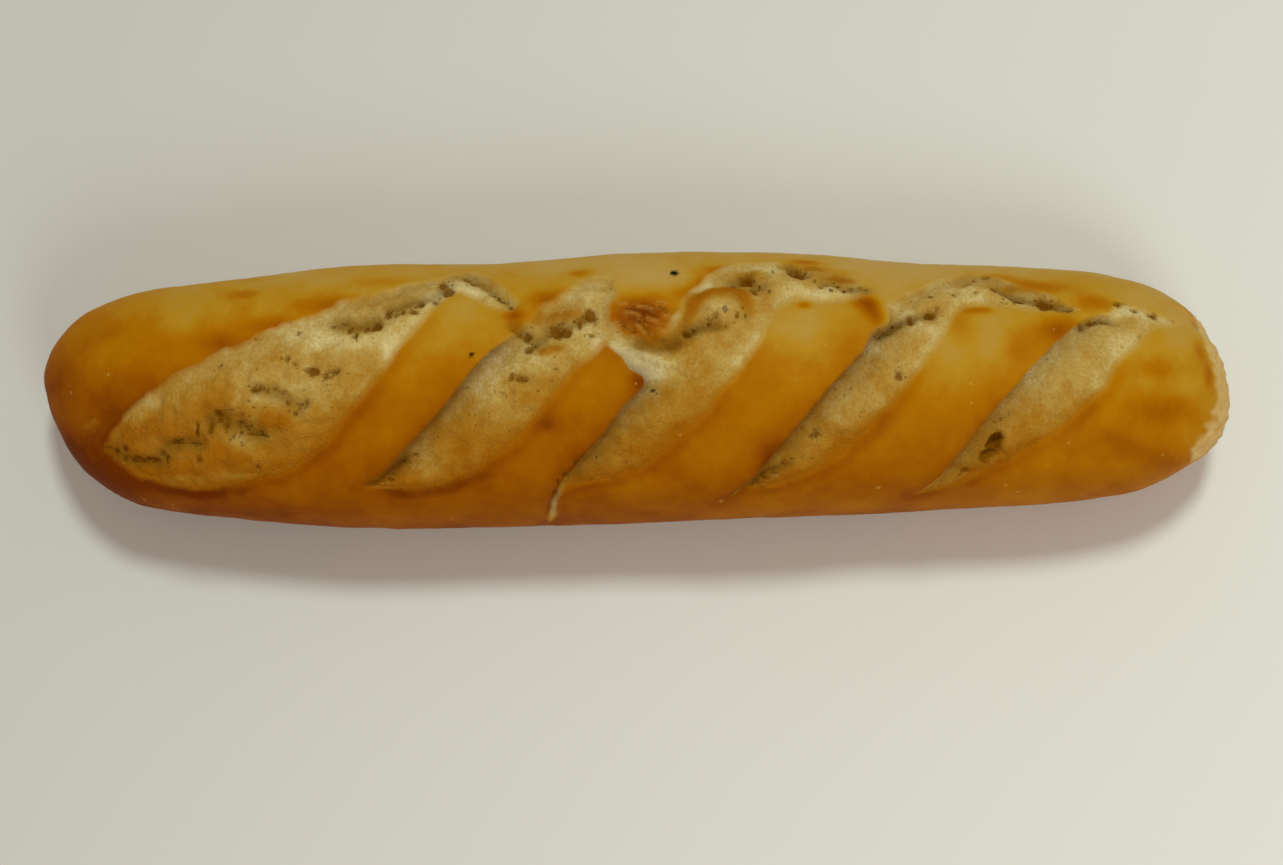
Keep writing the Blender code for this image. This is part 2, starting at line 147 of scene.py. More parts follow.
LIP_SHIFT = np.array([0.3, 0.1, -0.2, -0.2, -0.1, 0.0, 0.0])
LIP_WALL = np.array([1.0, 0.84, 0.60, 0.38, 0.20, 0.06, 0.0])
LIP_OUTER_REACH = 0.8
LIP_UNDERCUT = 0.45
NARROW_LIP = 0.6
FULL_RISE = 1.3
FULL_WIDTH = 7.0
SWELL_WIDTH = 12.0
DEPTH_FALL = 1.4
DEPTH_AT_LOW_EAR = 0.25
ON_EDGE = 0.02
CRUMB_EDGE_FADE = 1.5
# Reach of the painted shade on the crumb beside the ears
PAINTED_EAR_SHADE_REACH = 3.8

# How far round an opening its shape is worked out, and the distances taken farther out
SEARCH_MARGIN = 22.0
FAR = 20.0
FAR_OUTSIDE = -8.0

# Folds in the torn crumb: the line, its depth and half width
FOLDS = [
    ([(8.5, 5.3), (11, 7), (14.1, 8), (17.4, 8.3)], 1.2, 1.3),
    ([(-1.6, 4.1), (2.4, 3.5), (6.5, 3.7), (9.6, 5.4)], 1.1, 1.4),
    ([(-34.7, 20.6), (-30.1, 16.5), (-26.6, 13.2), (-24.5, 11.6)], 0.81, 0.94),
    ([(-61, 7.3), (-57.4, 6.9), (-53.4, 7.3), (-51, 7.8)], 1.1, 1.7),
    ([(-50.1, 10), (-46.6, 11.1), (-44.1, 12.8)], 1.1, 1.5),
    ([(-43.6, 13.1), (-41.1, 14.4), (-39.2, 17.1)], 0.81, 1.08),
    ([(-108.2, -17.9), (-103.8, -20.4), (-97.3, -21.5), (-93.8, -19.8)], 1.1, 1.6),
    ([(-95.2, -19.1), (-93.2, -17.7), (-90.8, -17.4), (-87.8, -18)], 1.1, 1.6),
    ([(-86.8, -14.8), (-83.8, -12.4), (-80.8, -13.5), (-77.3, -15.5), (-72.8, -15.7)], 1.1, 1.9),
    ([(-77.3, -6.5), (-73.8, -7), (-70.4, -8.2), (-66.8, -9.7), (-65.3, -8.7)], 0.54, 1.35),
    ([(-55.2, -27), (-52, -25.3), (-48.6, -23.2), (-45.6, -20)], 0.8, 0.7),
    ([(-25, 7.1), (-23.1, 5.8), (-21, 4.2)], 0.72, 1.22),
    ([(-21.9, 2.9), (-18.9, 3.7), (-17.1, 6.8), (-13, 7.1), (-8.5, 9.3)], 0.72, 1.22),
    ([(46.7, 6.1), (49.9, 8), (53, 10.1), (56.5, 11.1), (61.1, 12.3)], 1.17, 0.94),
    ([(30.5, 24.7), (32.4, 22.6), (34.4, 20.8)], 1.26, 1.08),
    ([(19.4, 18.3), (22.2, 19.4), (24.9, 17.7)], 0.9, 1.62),
    ([(36.4, 19.6), (41.4, 18.1), (47.9, 18.3)], 0.54, 1.08),
    ([(72.5, 19.3), (77, 17.5), (82, 16.1), (88, 14.6)], 1.08, 1.08),
    ([(18.6, -28.9), (23.2, -24.5), (27.6, -21.9), (32.6, -19.8)], 0.72, 0.68),
    ([(89, 10.1), (92.4, 11.6), (97.4, 11.7)], 0.9, 0.81),
    ([(-17.8, -36), (-16.9, -29.1), (-15.8, -26.6)], 0.54, 0.61),
]

# Raised forms: the line or the one place, their height, half width and how golden they are
RIDGES = [
    ([(8.3, 6.4), (9.9, 9.6), (12, 13), (15.4, 15.4), (19.2, 15.8), (21.9, 13.4), (22.6, 11.2)],
     0.8, 1.4, 0.70),
    ([(-73.8, -12.5), (-70.1, -12.8)], 0.9, 1.8, 0.5),
    ([(-93.3, -22.6), (-88.8, -22.7)], 0.5, 1.5, 0.35),
    ([(-84.8, -20), (-77.8, -20.5)], 0.5, 1.2, 0.4),
    ([(-102.2, -15.3), (-97.3, -14)], 0.4, 1.7, 0.3),
    ([(-19.7, 1.5), (-15.1, 2.4)], 0.5, 0.8, 0.5),
]
FLAKES = [
    ([(-2.9, 10.6), (-1, 10.2), (0.6, 9.3)], 0.45, 0.42),
    ([(-0.3, 12.5), (1.4, 11.8), (3.2, 10.7)], 0.35, 0.36),
    ([(1.8, 9.6), (3.2, 8.9), (4.6, 8.1)], 0.4, 0.38),
    ([(-0.2, 8), (1.1, 7), (1.9, 5.7)], 0.45, 0.42),
    ([(-4.2, 12.4), (-2, 12.5)], 0.25, 0.34),
    ([(5.1, 9.9), (7.1, 9.4)], 0.3, 0.34),
    ([(3.7, 13), (6.2, 12.8)], 0.25, 0.34),
    ([(-4.6, 8.3), (-3.2, 7)], 0.3, 0.36),
    ([(3.9, 6.9), (5.9, 6.3)], 0.3, 0.36),
    ([(109.9, 20), (113.5, 18.6), (116.6, 14.9)], 0.5, 0.7),
]
CREVICES = [
    ([(-3.8, 7.9), (-1.6, 7), (0.2, 6.2)], 0.7, 0.45),
    ([(0.6, 7.5), (2.1, 6.4), (3.7, 5.7)], 0.7, 0.45),
    ([(2.8, 4.8), (5, 4.3), (6.8, 3.8)], 0.8, 0.7),
    ([(3.7, 12), (6.1, 10.8)], 0.5, 0.4),
    ([(-1.6, 9.2), (0.9, 8.6)], 0.4, 0.35),
    ([(-2.5, 11.6), (-0.2, 11.1)], 0.4, 0.3),
    ([(115.5, 15.2), (116.8, 13.9)], 0.6, 0.45),
]

# Burst bubbles: x, s, and reach in x and in s
HOLES = [
    (-57.6, 5.6, 0.6, 0.9), (-56, 4.3, 0.5, 1.1), (-52, 6.6, 1.0, 0.9), (-61, 6.6, 0.8, 0.3),
    (-54.4, 5.8, 0.6, 0.7), (-49.9, 8.9, 0.8, 1.0), (-44.9, 9.7, 1.0, 0.6), (-48.6, 8.6, 0.6, 0.7),
    (-47.1, 9.2, 0.6, 0.5), (-43.6, 12.2, 0.8, 1.2), (-40.8, 12.7, 0.6, 0.8), (-39.7, 17.9, 0.8, 1.0),
    (-38.3, 15.7, 1.0, 1.1), (-37.6, 17.6, 0.5, 0.6), (-33.4, 18.4, 0.6, 0.8), (-34.7, 20.2, 0.8, 0.7),
    (-29.1, 14.4, 0.8, 0.4), (-27.5, 13.2, 1.0, 0.4), (-25.3, 11.5, 0.8, 0.4), (-61.3, -2.9, 0.8, 0.6),
    (-61.9, -3.9, 0.8, 0.8), (-60.1, -3.1, 1.0, 0.7), (-61, -4.3, 0.6, 0.5), (-24.9, 6.3, 0.6, 0.3),
    (-23.6, 5.4, 0.8, 0.5), (-22, 4.8, 0.8, 0.9), (-21.5, 1.9, 1.0, 0.8), (-20.2, 2.8, 0.8, 0.5),
    (-16.3, 6, 0.8, 1.3), (-14.2, 5.6, 1.3, 1.0), (-15.5, 4.7, 0.6, 0.8), (-17.6, 5, 0.5, 0.6),
    (-15, 7.7, 0.6, 0.6), (-9.4, 9.6, 1.0, 1.1), (-8.5, 7.9, 0.5, 0.6), (-11.5, 7.4, 0.6, 1.1),
    (-10.5, 4.9, 0.4, 0.4), (-12.5, 4.2, 0.4, 0.3), (-9.4, 5.1, 0.4, 0.6), (-24.8, -3.3, 0.8, 0.8),
    (-23.2, -3.9, 1.0, 0.8), (-21.9, -4, 0.8, 0.6), (-16.3, -1.7, 0.5, 0.3), (-17, -4.3, 0.4, 0.3),
    (-26.6, -6.7, 0.8, 0.2), (-28.3, -6.7, 0.4, 0.2), (-34.6, -5.8, 0.4, 0.3), (19.5, 18, 0.6, 0.7),
    (23.5, 16.2, 0.8, 0.8), (24.7, 17.6, 0.4, 0.8), (22.2, 19.6, 1.4, 1.2), (26.7, 16.3, 0.5, 0.8),
    (32.7, 22.6, 1.6, 1.2), (33.8, 21, 0.6, 0.8), (31.4, 24, 0.6, 0.8), (36, 19.6, 0.4, 0.5),
    (37.1, 18.2, 0.6, 0.5), (39.3, 16.9, 0.4, 0.4), (41.7, 17.2, 0.6, 0.5), (45.3, 18.8, 0.6, 0.6),
    (46.6, 18.5, 0.6, 0.4), (40.6, 18.7, 0.6, 0.4), (43.4, 18.5, 0.8, 0.4), (14.6, 9, 0.4, 0.7),
    (17.5, 11.3, 0.6, 0.9), (20, 10.6, 0.6, 0.9), (21.7, 10.5, 0.4, 0.7), (17.8, 7.9, 0.4, 0.5),
    (15.8, 10.3, 0.6, 0.7), (10, 6.4, 1.2, 0.7), (11.5, 7.2, 0.6, 0.6), (48.2, 6.6, 1.0, 0.4),
    (49.9, 7.9, 1.0, 0.5), (51.5, 8.8, 0.8, 0.4), (53, 9.7, 0.6, 0.7), (55, 10.6, 0.7, 1.2),
    (58.9, 11.8, 1.2, 0.7), (59.6, 16.3, 0.5, 0.7), (64.1, 17.1, 0.5, 0.9), (68.6, 17.5, 0.4, 0.7),
    (70.6, 16.1, 0.5, 0.4), (72.5, 18.7, 0.8, 0.8), (73.9, 15.5, 0.6, 0.4), (67.3, 21.2, 0.8, 0.6),
    (69.1, 22.5, 0.4, 0.7), (71.3, 23.9, 0.6, 0.6), (77.4, 16.7, 1.0, 0.9), (75.9, 17.5, 0.8, 0.7),
    (82.7, 15.7, 1.8, 1.2), (85.1, 14.8, 0.7, 0.6), (87.6, 14.3, 1.0, 0.6), (89.7, 10.4, 0.7, 0.6),
    (92, 11.6, 0.9, 0.7), (95, 11.9, 1.2, 0.4), (98.2, 16.7, 0.8, 0.8), (101.7, 15.3, 0.9, 0.5),
    (105.8, 14.6, 1.0, 0.8), (101.9, 8.8, 0.4, 0.3), (52.3, -1.5, 0.6, 1.0), (51.6, -0.5, 0.4, 0.5),
    (36, -13.9, 0.8, 0.9), (35, -14.5, 0.6, 0.6), (72.3, -13.7, 1.0, 1.4), (71.2, -15.7, 1.2, 1.7),
    (70.1, -17.6, 1.0, 1.2), (71.8, -14.6, 1.3, 1.9), (66.5, -21.7, 0.8, 0.6), (65.8, -22.4, 0.4, 0.4),
    (73, -9.5, 0.7, 0.4), (71.6, -10.2, 0.6, 0.3), (74.4, -8.6, 0.4, 0.4), (-76.5, -6.7, 1.0, 0.7),
    (-73.7, -6.7, 0.4, 0.7), (-72.2, -6.2, 0.3, 0.4), (-70.6, -7.3, 0.8, 0.4), (-69.5, -9.3, 0.6, 0.8),
    (-67.9, -11.4, 0.7, 0.6), (-65.7, -9.2, 0.6, 0.8), (-67.1, -10, 0.6, 0.5), (-76.3, -10.1, 0.5, 0.4),
    (-77.3, -12, 0.4, 0.3), (-77.3, -9, 0.4, 0.4), (-69.3, -10.9, 0.4, 0.4), (-87.8, -14.7, 0.4, 1.6),
    (-85.1, -14.6, 0.6, 1.2), (-83.8, -11.5, 0.8, 0.8), (-82.1, -14.2, 0.8, 0.8), (-79.4, -13.8, 0.8, 0.6),
    (-80.5, -15.7, 0.4, 0.4), (-81.3, -16.8, 0.4, 0.4), (-79.5, -16.1, 0.3, 0.4), (-78.9, -17.7, 0.6, 0.4),
    (-80.9, -10.8, 0.6, 0.3), (-83.3, -12.7, 0.6, 0.8), (-77, -15.7, 1.0, 0.5), (-74.4, -15.9, 1.2, 0.4),
    (-77.7, -14.3, 0.8, 0.6), (-103.9, -18.5, 0.6, 0.7), (-106.2, -19.5, 0.4, 0.9), (-104.2, -21, 0.4, 0.6),
    (-102.2, -21.3, 0.5, 0.4), (-99.7, -21.2, 0.6, 0.5), (-97.5, -21.6, 0.8, 0.5), (-94.3, -20.6, 0.6, 0.7),
    (-107.6, -18.1, 0.8, 0.4), (-100.9, -20.3, 0.8, 0.6), (-98.5, -20.7, 1.0, 0.4),
    (-95.6, -19.7, 0.6, 0.6), (-91.9, -17.3, 1.4, 0.5), (-89, -17.8, 1.0, 0.4), (-87.6, -20.6, 0.6, 0.7),
    (-76.1, -22.4, 0.5, 0.6), (-69.8, -1.1, 0.5, 0.3), (-68.1, -1.8, 0.6, 0.3), (-46.6, -21.8, 0.7, 0.5),
    (-44.2, -19.7, 0.8, 0.5), (-52.3, -26.1, 1.2, 0.35), (-49.1, -24.7, 0.9, 0.4), (-12.1, -20.3, 0.6, 0.7),
    (-13.1, -21.8, 0.4, 0.5), (-10.9, -19.1, 0.4, 0.4), (-14.3, -23.5, 0.6, 1.0), (-15.8, -25.3, 0.4, 0.8),
    (-7.9, -19.7, 0.4, 0.4), (27.8, -22.4, 0.8, 0.4), (25.9, -23.3, 0.8, 0.6), (24.5, -24.8, 1.0, 0.4),
    (29.6, -19.9, 0.6, 0.2), (31.2, -19.2, 0.6, 0.2), (41.5, -5.6, 0.4, 0.4), (44.7, -9.1, 0.4, 0.4),
    (21.8, 18.8, 0.8, 0.9), (27.6, 22.7, 0.4, 0.7), (28.9, 24.5, 0.4, 0.6), (4.1, -6.2, 0.4, 0.4),
    (-64.5, -3, 1.4, 0.9), (-69.9, -0.5, 0.7, 0.6), (-83.8, -2, 0.5, 0.4), (-68.1, 5, 0.4, 0.5),
    (-76.5, 3.7, 0.5, 0.3), (-74.9, -6.4, 0.8, 0.7), (-72.3, -6.3, 0.6, 0.6), (-16.6, -28.6, 0.4, 0.9),
    (-68.4, -1.3, 0.5, 0.4), (-52.6, 6, 0.8, 0.5), (-58.8, 7.4, 0.8, 0.4), (60.6, 13.2, 0.7, 0.5),
]
HOLE_DEPTH = 0.7
HOLE_SPREAD = 1.32
HOLE_LEAST = 0.5
TORN_PATCH = (-110.2, -12.6, 3.2, 2.0)

# Flaky crust above the middle opening, and the torn rim round the right tip
FLAKY_OUTLINE = np.array([(-5.5, 6), (-5.1, 9.7), (-3.8, 13.1), (0.5, 15), (6.1, 13.8), (9.1, 10.4),
                          (8.5, 6.7), (4.9, 4.6), (-0.6, 5.2)])
FLAKE_PITCH = 1.7
FLAKE_HEIGHT = 0.4
RIM_BORDER = ([-30, -18.5, -14.5, -10, -5.5, -2.5, 3, 8, 13, 19, 26],
              [115, 114, 114.5, 116.5, 119.5, 120, 120, 119, 117.5, 114.5, 112])
RIM_SPAN = (-19.0, 22.0)
RIM_HEIGHT = 0.16

# Unevenness: height and cell
BODY_SWELL = (0.55, 26.0)
CRUST_RIPPLE = (0.10, 5.0)
CRUST_GRAIN = (0.04, 2.0)
CAP_DENTS = (0.35, 8.0)
CAP_START = 92.0
CAP_BLEND = 12.0
CRUMB_LUMPS = (0.55, 3.6)
CRUMB_KNOBS = (0.33, 1.5)
CRUMB_GRAIN = (0.12, 0.8)
RIM_LUMPS_CELL = 1.4

# What the skin carries at every point for its material
LOOKS = ("edge", "softness", "bake", "toast", "painted_crease_shade", "hole", "pores", "flake", "flaky", "rim", "burnt",
         "painted_ear_shade")

# How brown the crust is, from 0 pale to 1 dark
BAKE_ROUND = ([-55, -30, -18, -6, 4, 14, 24, 40], [0.84, 0.72, 0.66, 0.57, 0.44, 0.31, 0.22, 0.18])
BAKE_ALONG = ([-125, -90, -60, 0, 60, 125], [0.18, 0.13, 0.08, 0.01, -0.03, -0.08])
BAKE_LEFT_TIP = 0.11
LEFT_TIP_START = 90.0
LEFT_TIP_BLEND = 36.0
BAKE_UNDERSIDE = 0.62
UNDERSIDE_SHARE = 0.66
UNDERSIDE_FULL = 0.98
BAKE_EAR = 0.17
BAKE_FLUSH = 0.12

# Spots of browner or paler crust: x, s, reach in x and in s, and how much
SPOTS = [
    (-79.8, 15.6, 3, 1.6, 0.22), (-73.7, 6.8, 5, 1.8, 0.22), (-84.2, 3, 8, 2.4, 0.20),
    (-63, 11.6, 6, 2.4, 0.26), (-108.1, 6.3, 5, 3, 0.14), (-52.6, 18.1, 6, 2, 0.20),
    (-18.5, 13.8, 3.5, 2.5, 0.34), (-24.5, 9.4, 2, 1.4, 0.40), (-11.7, 21.4, 2.6, 1.7, 0.36),
    (11.5, 15.4, 4, 2.2, 0.38), (16.5, 22.6, 6, 2, 0.24), (1.4, 20, 8, 4, -0.14), (-7, -2.4, 4, 4, 0.05),
    (-5, 2.4, 2.4, 2.6, 0.08), (-17.4, -12.9, 2.5, 2, 0.16), (-47.4, -9.6, 3, 2.5, 0.03),
    (1.5, 10.3, 7, 4.6, 0.56), (34.5, 26.5, 4, 1.5, 0.36), (40.5, 23.2, 4, 1.4, 0.30),
    (45.8, 14.8, 3, 2, 0.34), (48.2, 10, 1.4, 2, 0.26), (45.1, -23, 7, 4, 0.10), (33.6, 13.4, 1.7, 1, 0.34),
    (42.6, 7.1, 4, 5, 0.10), (48.6, -6.6, 4, 6, 0.08), (65, 8.7, 3, 5, 0.20), (69, 13.5, 3.4, 1.2, 0.34),
    (85.4, 9.6, 4, 3, 0.22), (79.1, 6.2, 5, 4, 0.14), (70.6, -9.9, 3, 4, 0.08), (82, 20.8, 10, 2.6, 0.30),
    (93.5, 16.6, 5, 2.6, 0.34), (72.4, 23.7, 4, 1.2, 0.26), (106.2, -6.2, 7, 3.4, 0.25),
    (98, -13.6, 6, 3.4, 0.20), (105.2, 2.4, 5.4, 2.3, 0.18), (116, 8, 2, 2.6, 0.28),
    (118, 3.2, 1.4, 3.4, 0.28), (112.3, -7.9, 3, 5, -0.08), (110.3, 10.1, 3, 4, -0.10),
    (100.4, 13.7, 3, 1, 0.12), (107.3, -16.7, 6, 3, 0.16), (-119.2, -3.6, 3, 5, 0.06),
    (-30.6, 13.7, 6, 5, -0.08), (26.4, 8.8, 6, 5, -0.06), (35.5, 7.1, 6, 4, -0.10),
    (71.5, 5.1, 4, 5, -0.08), (59.6, 1.1, 5, 5, -0.06), (-0.5, 4.1, 4, 1.2, 0.26),
    (111.3, -0.4, 4, 3, -0.10), (-36, 2, 8, 6, -0.12), (-33, 10, 6, 5, -0.05), (-15, -13, 6, 5, 0.12),
    (-110, 2, 9, 6, -0.12), (-92, 10, 8, 4, -0.08), (-70, 19.5, 10, 5, -0.08), (37, 5, 5, 5, 0.10),
    (63, 6, 4, 4, -0.12), (75.5, 5.5, 3, 4, 0.10), (111, -4, 3, 3, 0.08), (13, 18.8, 3, 2.4, 0.26),
    (18, 22, 5, 1.8, 0.14), (20, 29, 14, 5, 0.12), (95, 25, 16, 5, 0.14), (47.2, 12.6, 2.2, 2.4, 0.40),
    (0.2, -4.0, 2.2, 1.8, 0.22), (83.5, 9, 5, 3, 0.20), (27, -18, 8, 5, 0.10),
]
# Spots of more golden or paler crumb, in the same way
CRUMB_SPOTS = [
    (-82.8, -22.5, 9, 2.6, 0.30), (-86.2, -9, 6, 4, 0.16), (-99.3, -22.8, 5, 1.6, 0.22),
    (-92.3, -15.1, 5, 3, 0.22), (-97.3, -9, 3, 1.5, -0.25), (-80.2, -24.8, 2.6, 1, -0.35),
    (-80, -16.8, 2.4, 1, -0.22), (-74.3, -8.5, 3.4, 1, -0.20), (-103.3, -19.6, 4, 0.8, -0.20),
    (-62.3, -16.7, 6, 3, 0.20), (-14.7, 9.3, 4.6, 1.4, 0.42), (-25.4, 9.3, 3, 1.2, 0.4),
    (4.5, 4.3, 6, 1.6, 0.35), (16.4, 9.4, 4, 2.4, 0.10), (22.5, 20.7, 3.4, 1.5, 0.45),
    (35.4, 24.4, 4, 1.2, 0.50), (42, 21.1, 4, 1.2, 0.35), (79.5, 19.8, 8, 1.3, 0.40),
    (87.5, 15.9, 4, 1, 0.35), (71.6, -14.3, 2.5, 2, 0.25), (-3.5, -0.3, 4.4, 3.6, -0.60),
    (-0.6, -3.4, 5, 4, -0.20), (38, 16.8, 7, 1.8, -0.25), (13.4, 17.4, 5, 1.2, -0.35),
    (8.5, 9.8, 2, 1.8, -0.30), (-30.3, -16.4, 10, 4, 0.16), (4.6, -16.1, 10, 4, 0.12),
    (44.6, -15.1, 8, 4, 0.12), (-51, 2.5, 9, 4, -0.22), (-64, 3, 9, 4, -0.14), (-21, -9, 8, 4, -0.10),
    (-55.6, 6, 5, 1.8, 0.40), (-109.8, -12.2, 5, 4, 0.32), (-36.7, 14.7, 6, 3, -0.22),
    (-28.4, -3.4, 6, 5, -0.12), (-0.4, -1.3, 2.6, 2.4, -0.3), (83.6, -0.8, 8, 6, -0.10),
    (57.5, 9, 5, 3, -0.20), (66.4, 19.2, 7, 3, -0.08), (-12.6, 14.7, 5, 3, -0.18),
    (99.4, 14.7, 7, 1.6, -0.30), (26.4, 22.1, 5, 2, -0.12), (-17, -34, 3, 7, -1.20),
    (19.7, -28.1, 3, 3, -0.35), (59.7, -26.8, 4, 4, -0.20), (3.2, -1.6, 4.6, 2.4, -0.55),
    (-4.5, 6.4, 2.6, 1.4, 0.15), (-97, -18, 7, 4, 0.22), (-86, -19, 7, 3, 0.10), (-19, -3.5, 5, 3, 0.12),
    (48.5, -3, 5, 4, 0.10),
]
# Burnt specks: x, s, and reach in x and in s
BURNT = [(7.5, 21.1, 0.8, 0.8), (-33, 0.7, 0.45, 0.4), (3.2, -5.6, 0.4, 0.35)]

# Grid
CELL = 0.495
SIDE_CELL = 2.3
FINE_FRONT = -35.0
FINE_BACK = 27.0
CELL_GROWTH = 20.0
HALF_GIRTH_GUESS = 74.0
HALF_WIDTH_GUESS = 26.0
SNAP_SHARE = 0.5

# Where relief fades: height above the foot where it starts and its reach, and roundness of the tips
FOOT_FADE_START = 0.5
FOOT_FADE_REACH = 8.0
TIP_FADE = 0.12

# Sizes of the bread's patterns, in millimetres
GRAIN_SIZES = (0.7, 2.2, 4.5)
BLISTER_AND_GLINT_SPACING = 2.9
PORE_SPACING = 1.1
FIBRE_WIDTH = 1.6

# Lights: place and aim in metres, size, tint, and share of the key light's power
LIGHTS = {
    "key_light": ((0.12, 0.64, 1.39), (0, 0, 0.02), 0.28, "#EDFFFD", 1.0),
    "front_light": ((0.35, -0.75, 0.75), (0.12, -0.2, 0), 0.5, "#F6FFFD", 0.32),
}

# Camera: the photo looks down steeply from the front
PHOTO_SIZE = (1283, 865)
CAMERA_ELEVATION = 78.0
CAMERA_DISTANCE = 450.0
CAMERA_AIM_HEIGHT = 20.0
CAMERA_FOCAL_PX = 2147.0
CAMERA_ROLL = 1.0
PHOTO_OFFSET_PX = (4.8, -44.7)
SENSOR_MM = 36.0


def linear(code):
    """An sRGB hex colour as linear red, green and blue."""
    channels = [int(code[i:i + 2], 16) / 255 for i in (1, 3, 5)]
    return tuple(c / 12.92 if c <= 0.04045 else ((c + 0.055) / 1.055) ** 2.4 for c in channels)


def smooth_step(value):
    """0 below 0, 1 above 1, and a smooth rise between them."""
    held = np.clip(value, 0, 1)
    return held * held * (3 - 2 * held)


def smooth_through(at, places, values):
    """A cubic curve through the values at the places, with each slope taken from its neighbours."""
    slopes = np.gradient(values, places)
    i = np.clip(np.searchsorted(places, at) - 1, 0, len(places) - 2)
    gap = places[i + 1] - places[i]
    u = (at - places[i]) / gap
    start = (2 * u**3 - 3 * u**2 + 1) * values[i] + (u**3 - 2 * u**2 + u) * gap * slopes[i]
    end = (3 * u**2 - 2 * u**3) * values[i + 1] + (u**3 - u**2) * gap * slopes[i + 1]
    return start + end


def lumps(x, s, cell, seed):
    """Smooth random relief from -1 to 1: random heights a cell apart, blended between a lattice's corners."""
    heights = np.random.default_rng(seed).uniform(-1, 1, (256, 256))
    u, w = x / cell + 128, s / cell + 128
    i, j = np.floor(u).astype(int), np.floor(w).astype(int)
    fu, fw = smooth_step(u - i), smooth_step(w - j)
    i, j = i % 255, j % 255
    low = heights[i, j] * (1 - fu) + heights[i + 1, j] * fu
    high = heights[i, j + 1] * (1 - fu) + heights[i + 1, j + 1] * fu
    return low * (1 - fw) + high * fw


def torn_line(points, tear, seed):
    """A smooth line through the points, moved by random relief as far as tear says at each share of it."""
    knots = np.array(points, float)
    along = np.concatenate([[0], np.cumsum(np.linalg.norm(np.diff(knots, axis=0), axis=1))])
    at = np.linspace(0, along[-1], int(along[-1] / EDGE_STEP) + 2)
    line = np.stack([smooth_through(at, along, knots[:, k]) for k in (0, 1)], axis=1)
    shares = at / along[-1]
    reach = np.interp(shares, *tear) * smooth_step(np.minimum(shares, 1 - shares) / 0.03)
    for k in (0, 1):
        slow, quick = lumps(at, at * 0, 3.5, seed + k), lumps(at, at * 0, 1.4, seed + 2 + k)
        line[:, k] += reach * (slow + 0.6 * quick)
    return line


def nearest(line, x, s):
    """For each point: its distance to the line, and the nearest place's share of the length, x and s."""
    start, run = line[:-1], np.diff(line, axis=0)
    lengths = np.maximum(np.linalg.norm(run, axis=1), 1e-9)
    before = np.concatenate([[0], np.cumsum(lengths)])
    dx, ds = x[:, None] - start[:, 0], s[:, None] - start[:, 1]
    u = np.clip((dx * run[:, 0] + ds * run[:, 1]) / lengths**2, 0, 1)
    distance = np.hypot(dx - u * run[:, 0], ds - u * run[:, 1])
    best = distance.argmin(axis=1)
    rows = np.arange(len(x))
    u = u[rows, best]
    share = (before[best] + u * lengths[best]) / before[-1]
    place = start[best] + u[:, None] * run[best]
    return distance[rows, best], share, place[:, 0], place[:, 1]


def inside(outline, x, s):
    """Whether each point lies in the closed outline: it crosses an odd number of edges on its way up."""
    x0, s0 = outline.T
    x1, s1 = np.roll(outline, -1, axis=0).T
    crosses = (x0 > x[:, None]) != (x1 > x[:, None])
    level = s0 + (s1 - s0) * (x[:, None] - x0) / np.where(x1 == x0, 1, x1 - x0)
    return (crosses & (s[:, None] < level)).sum(axis=1) % 2 == 1


def blob(x, s, place_x, place_s, reach_x, reach_s):
    """A soft round spot: 1 at its place, fading as a bell curve over its reach."""
    return np.exp(-(((x - place_x) / reach_x) ** 2 + ((s - place_s) / reach_s) ** 2))


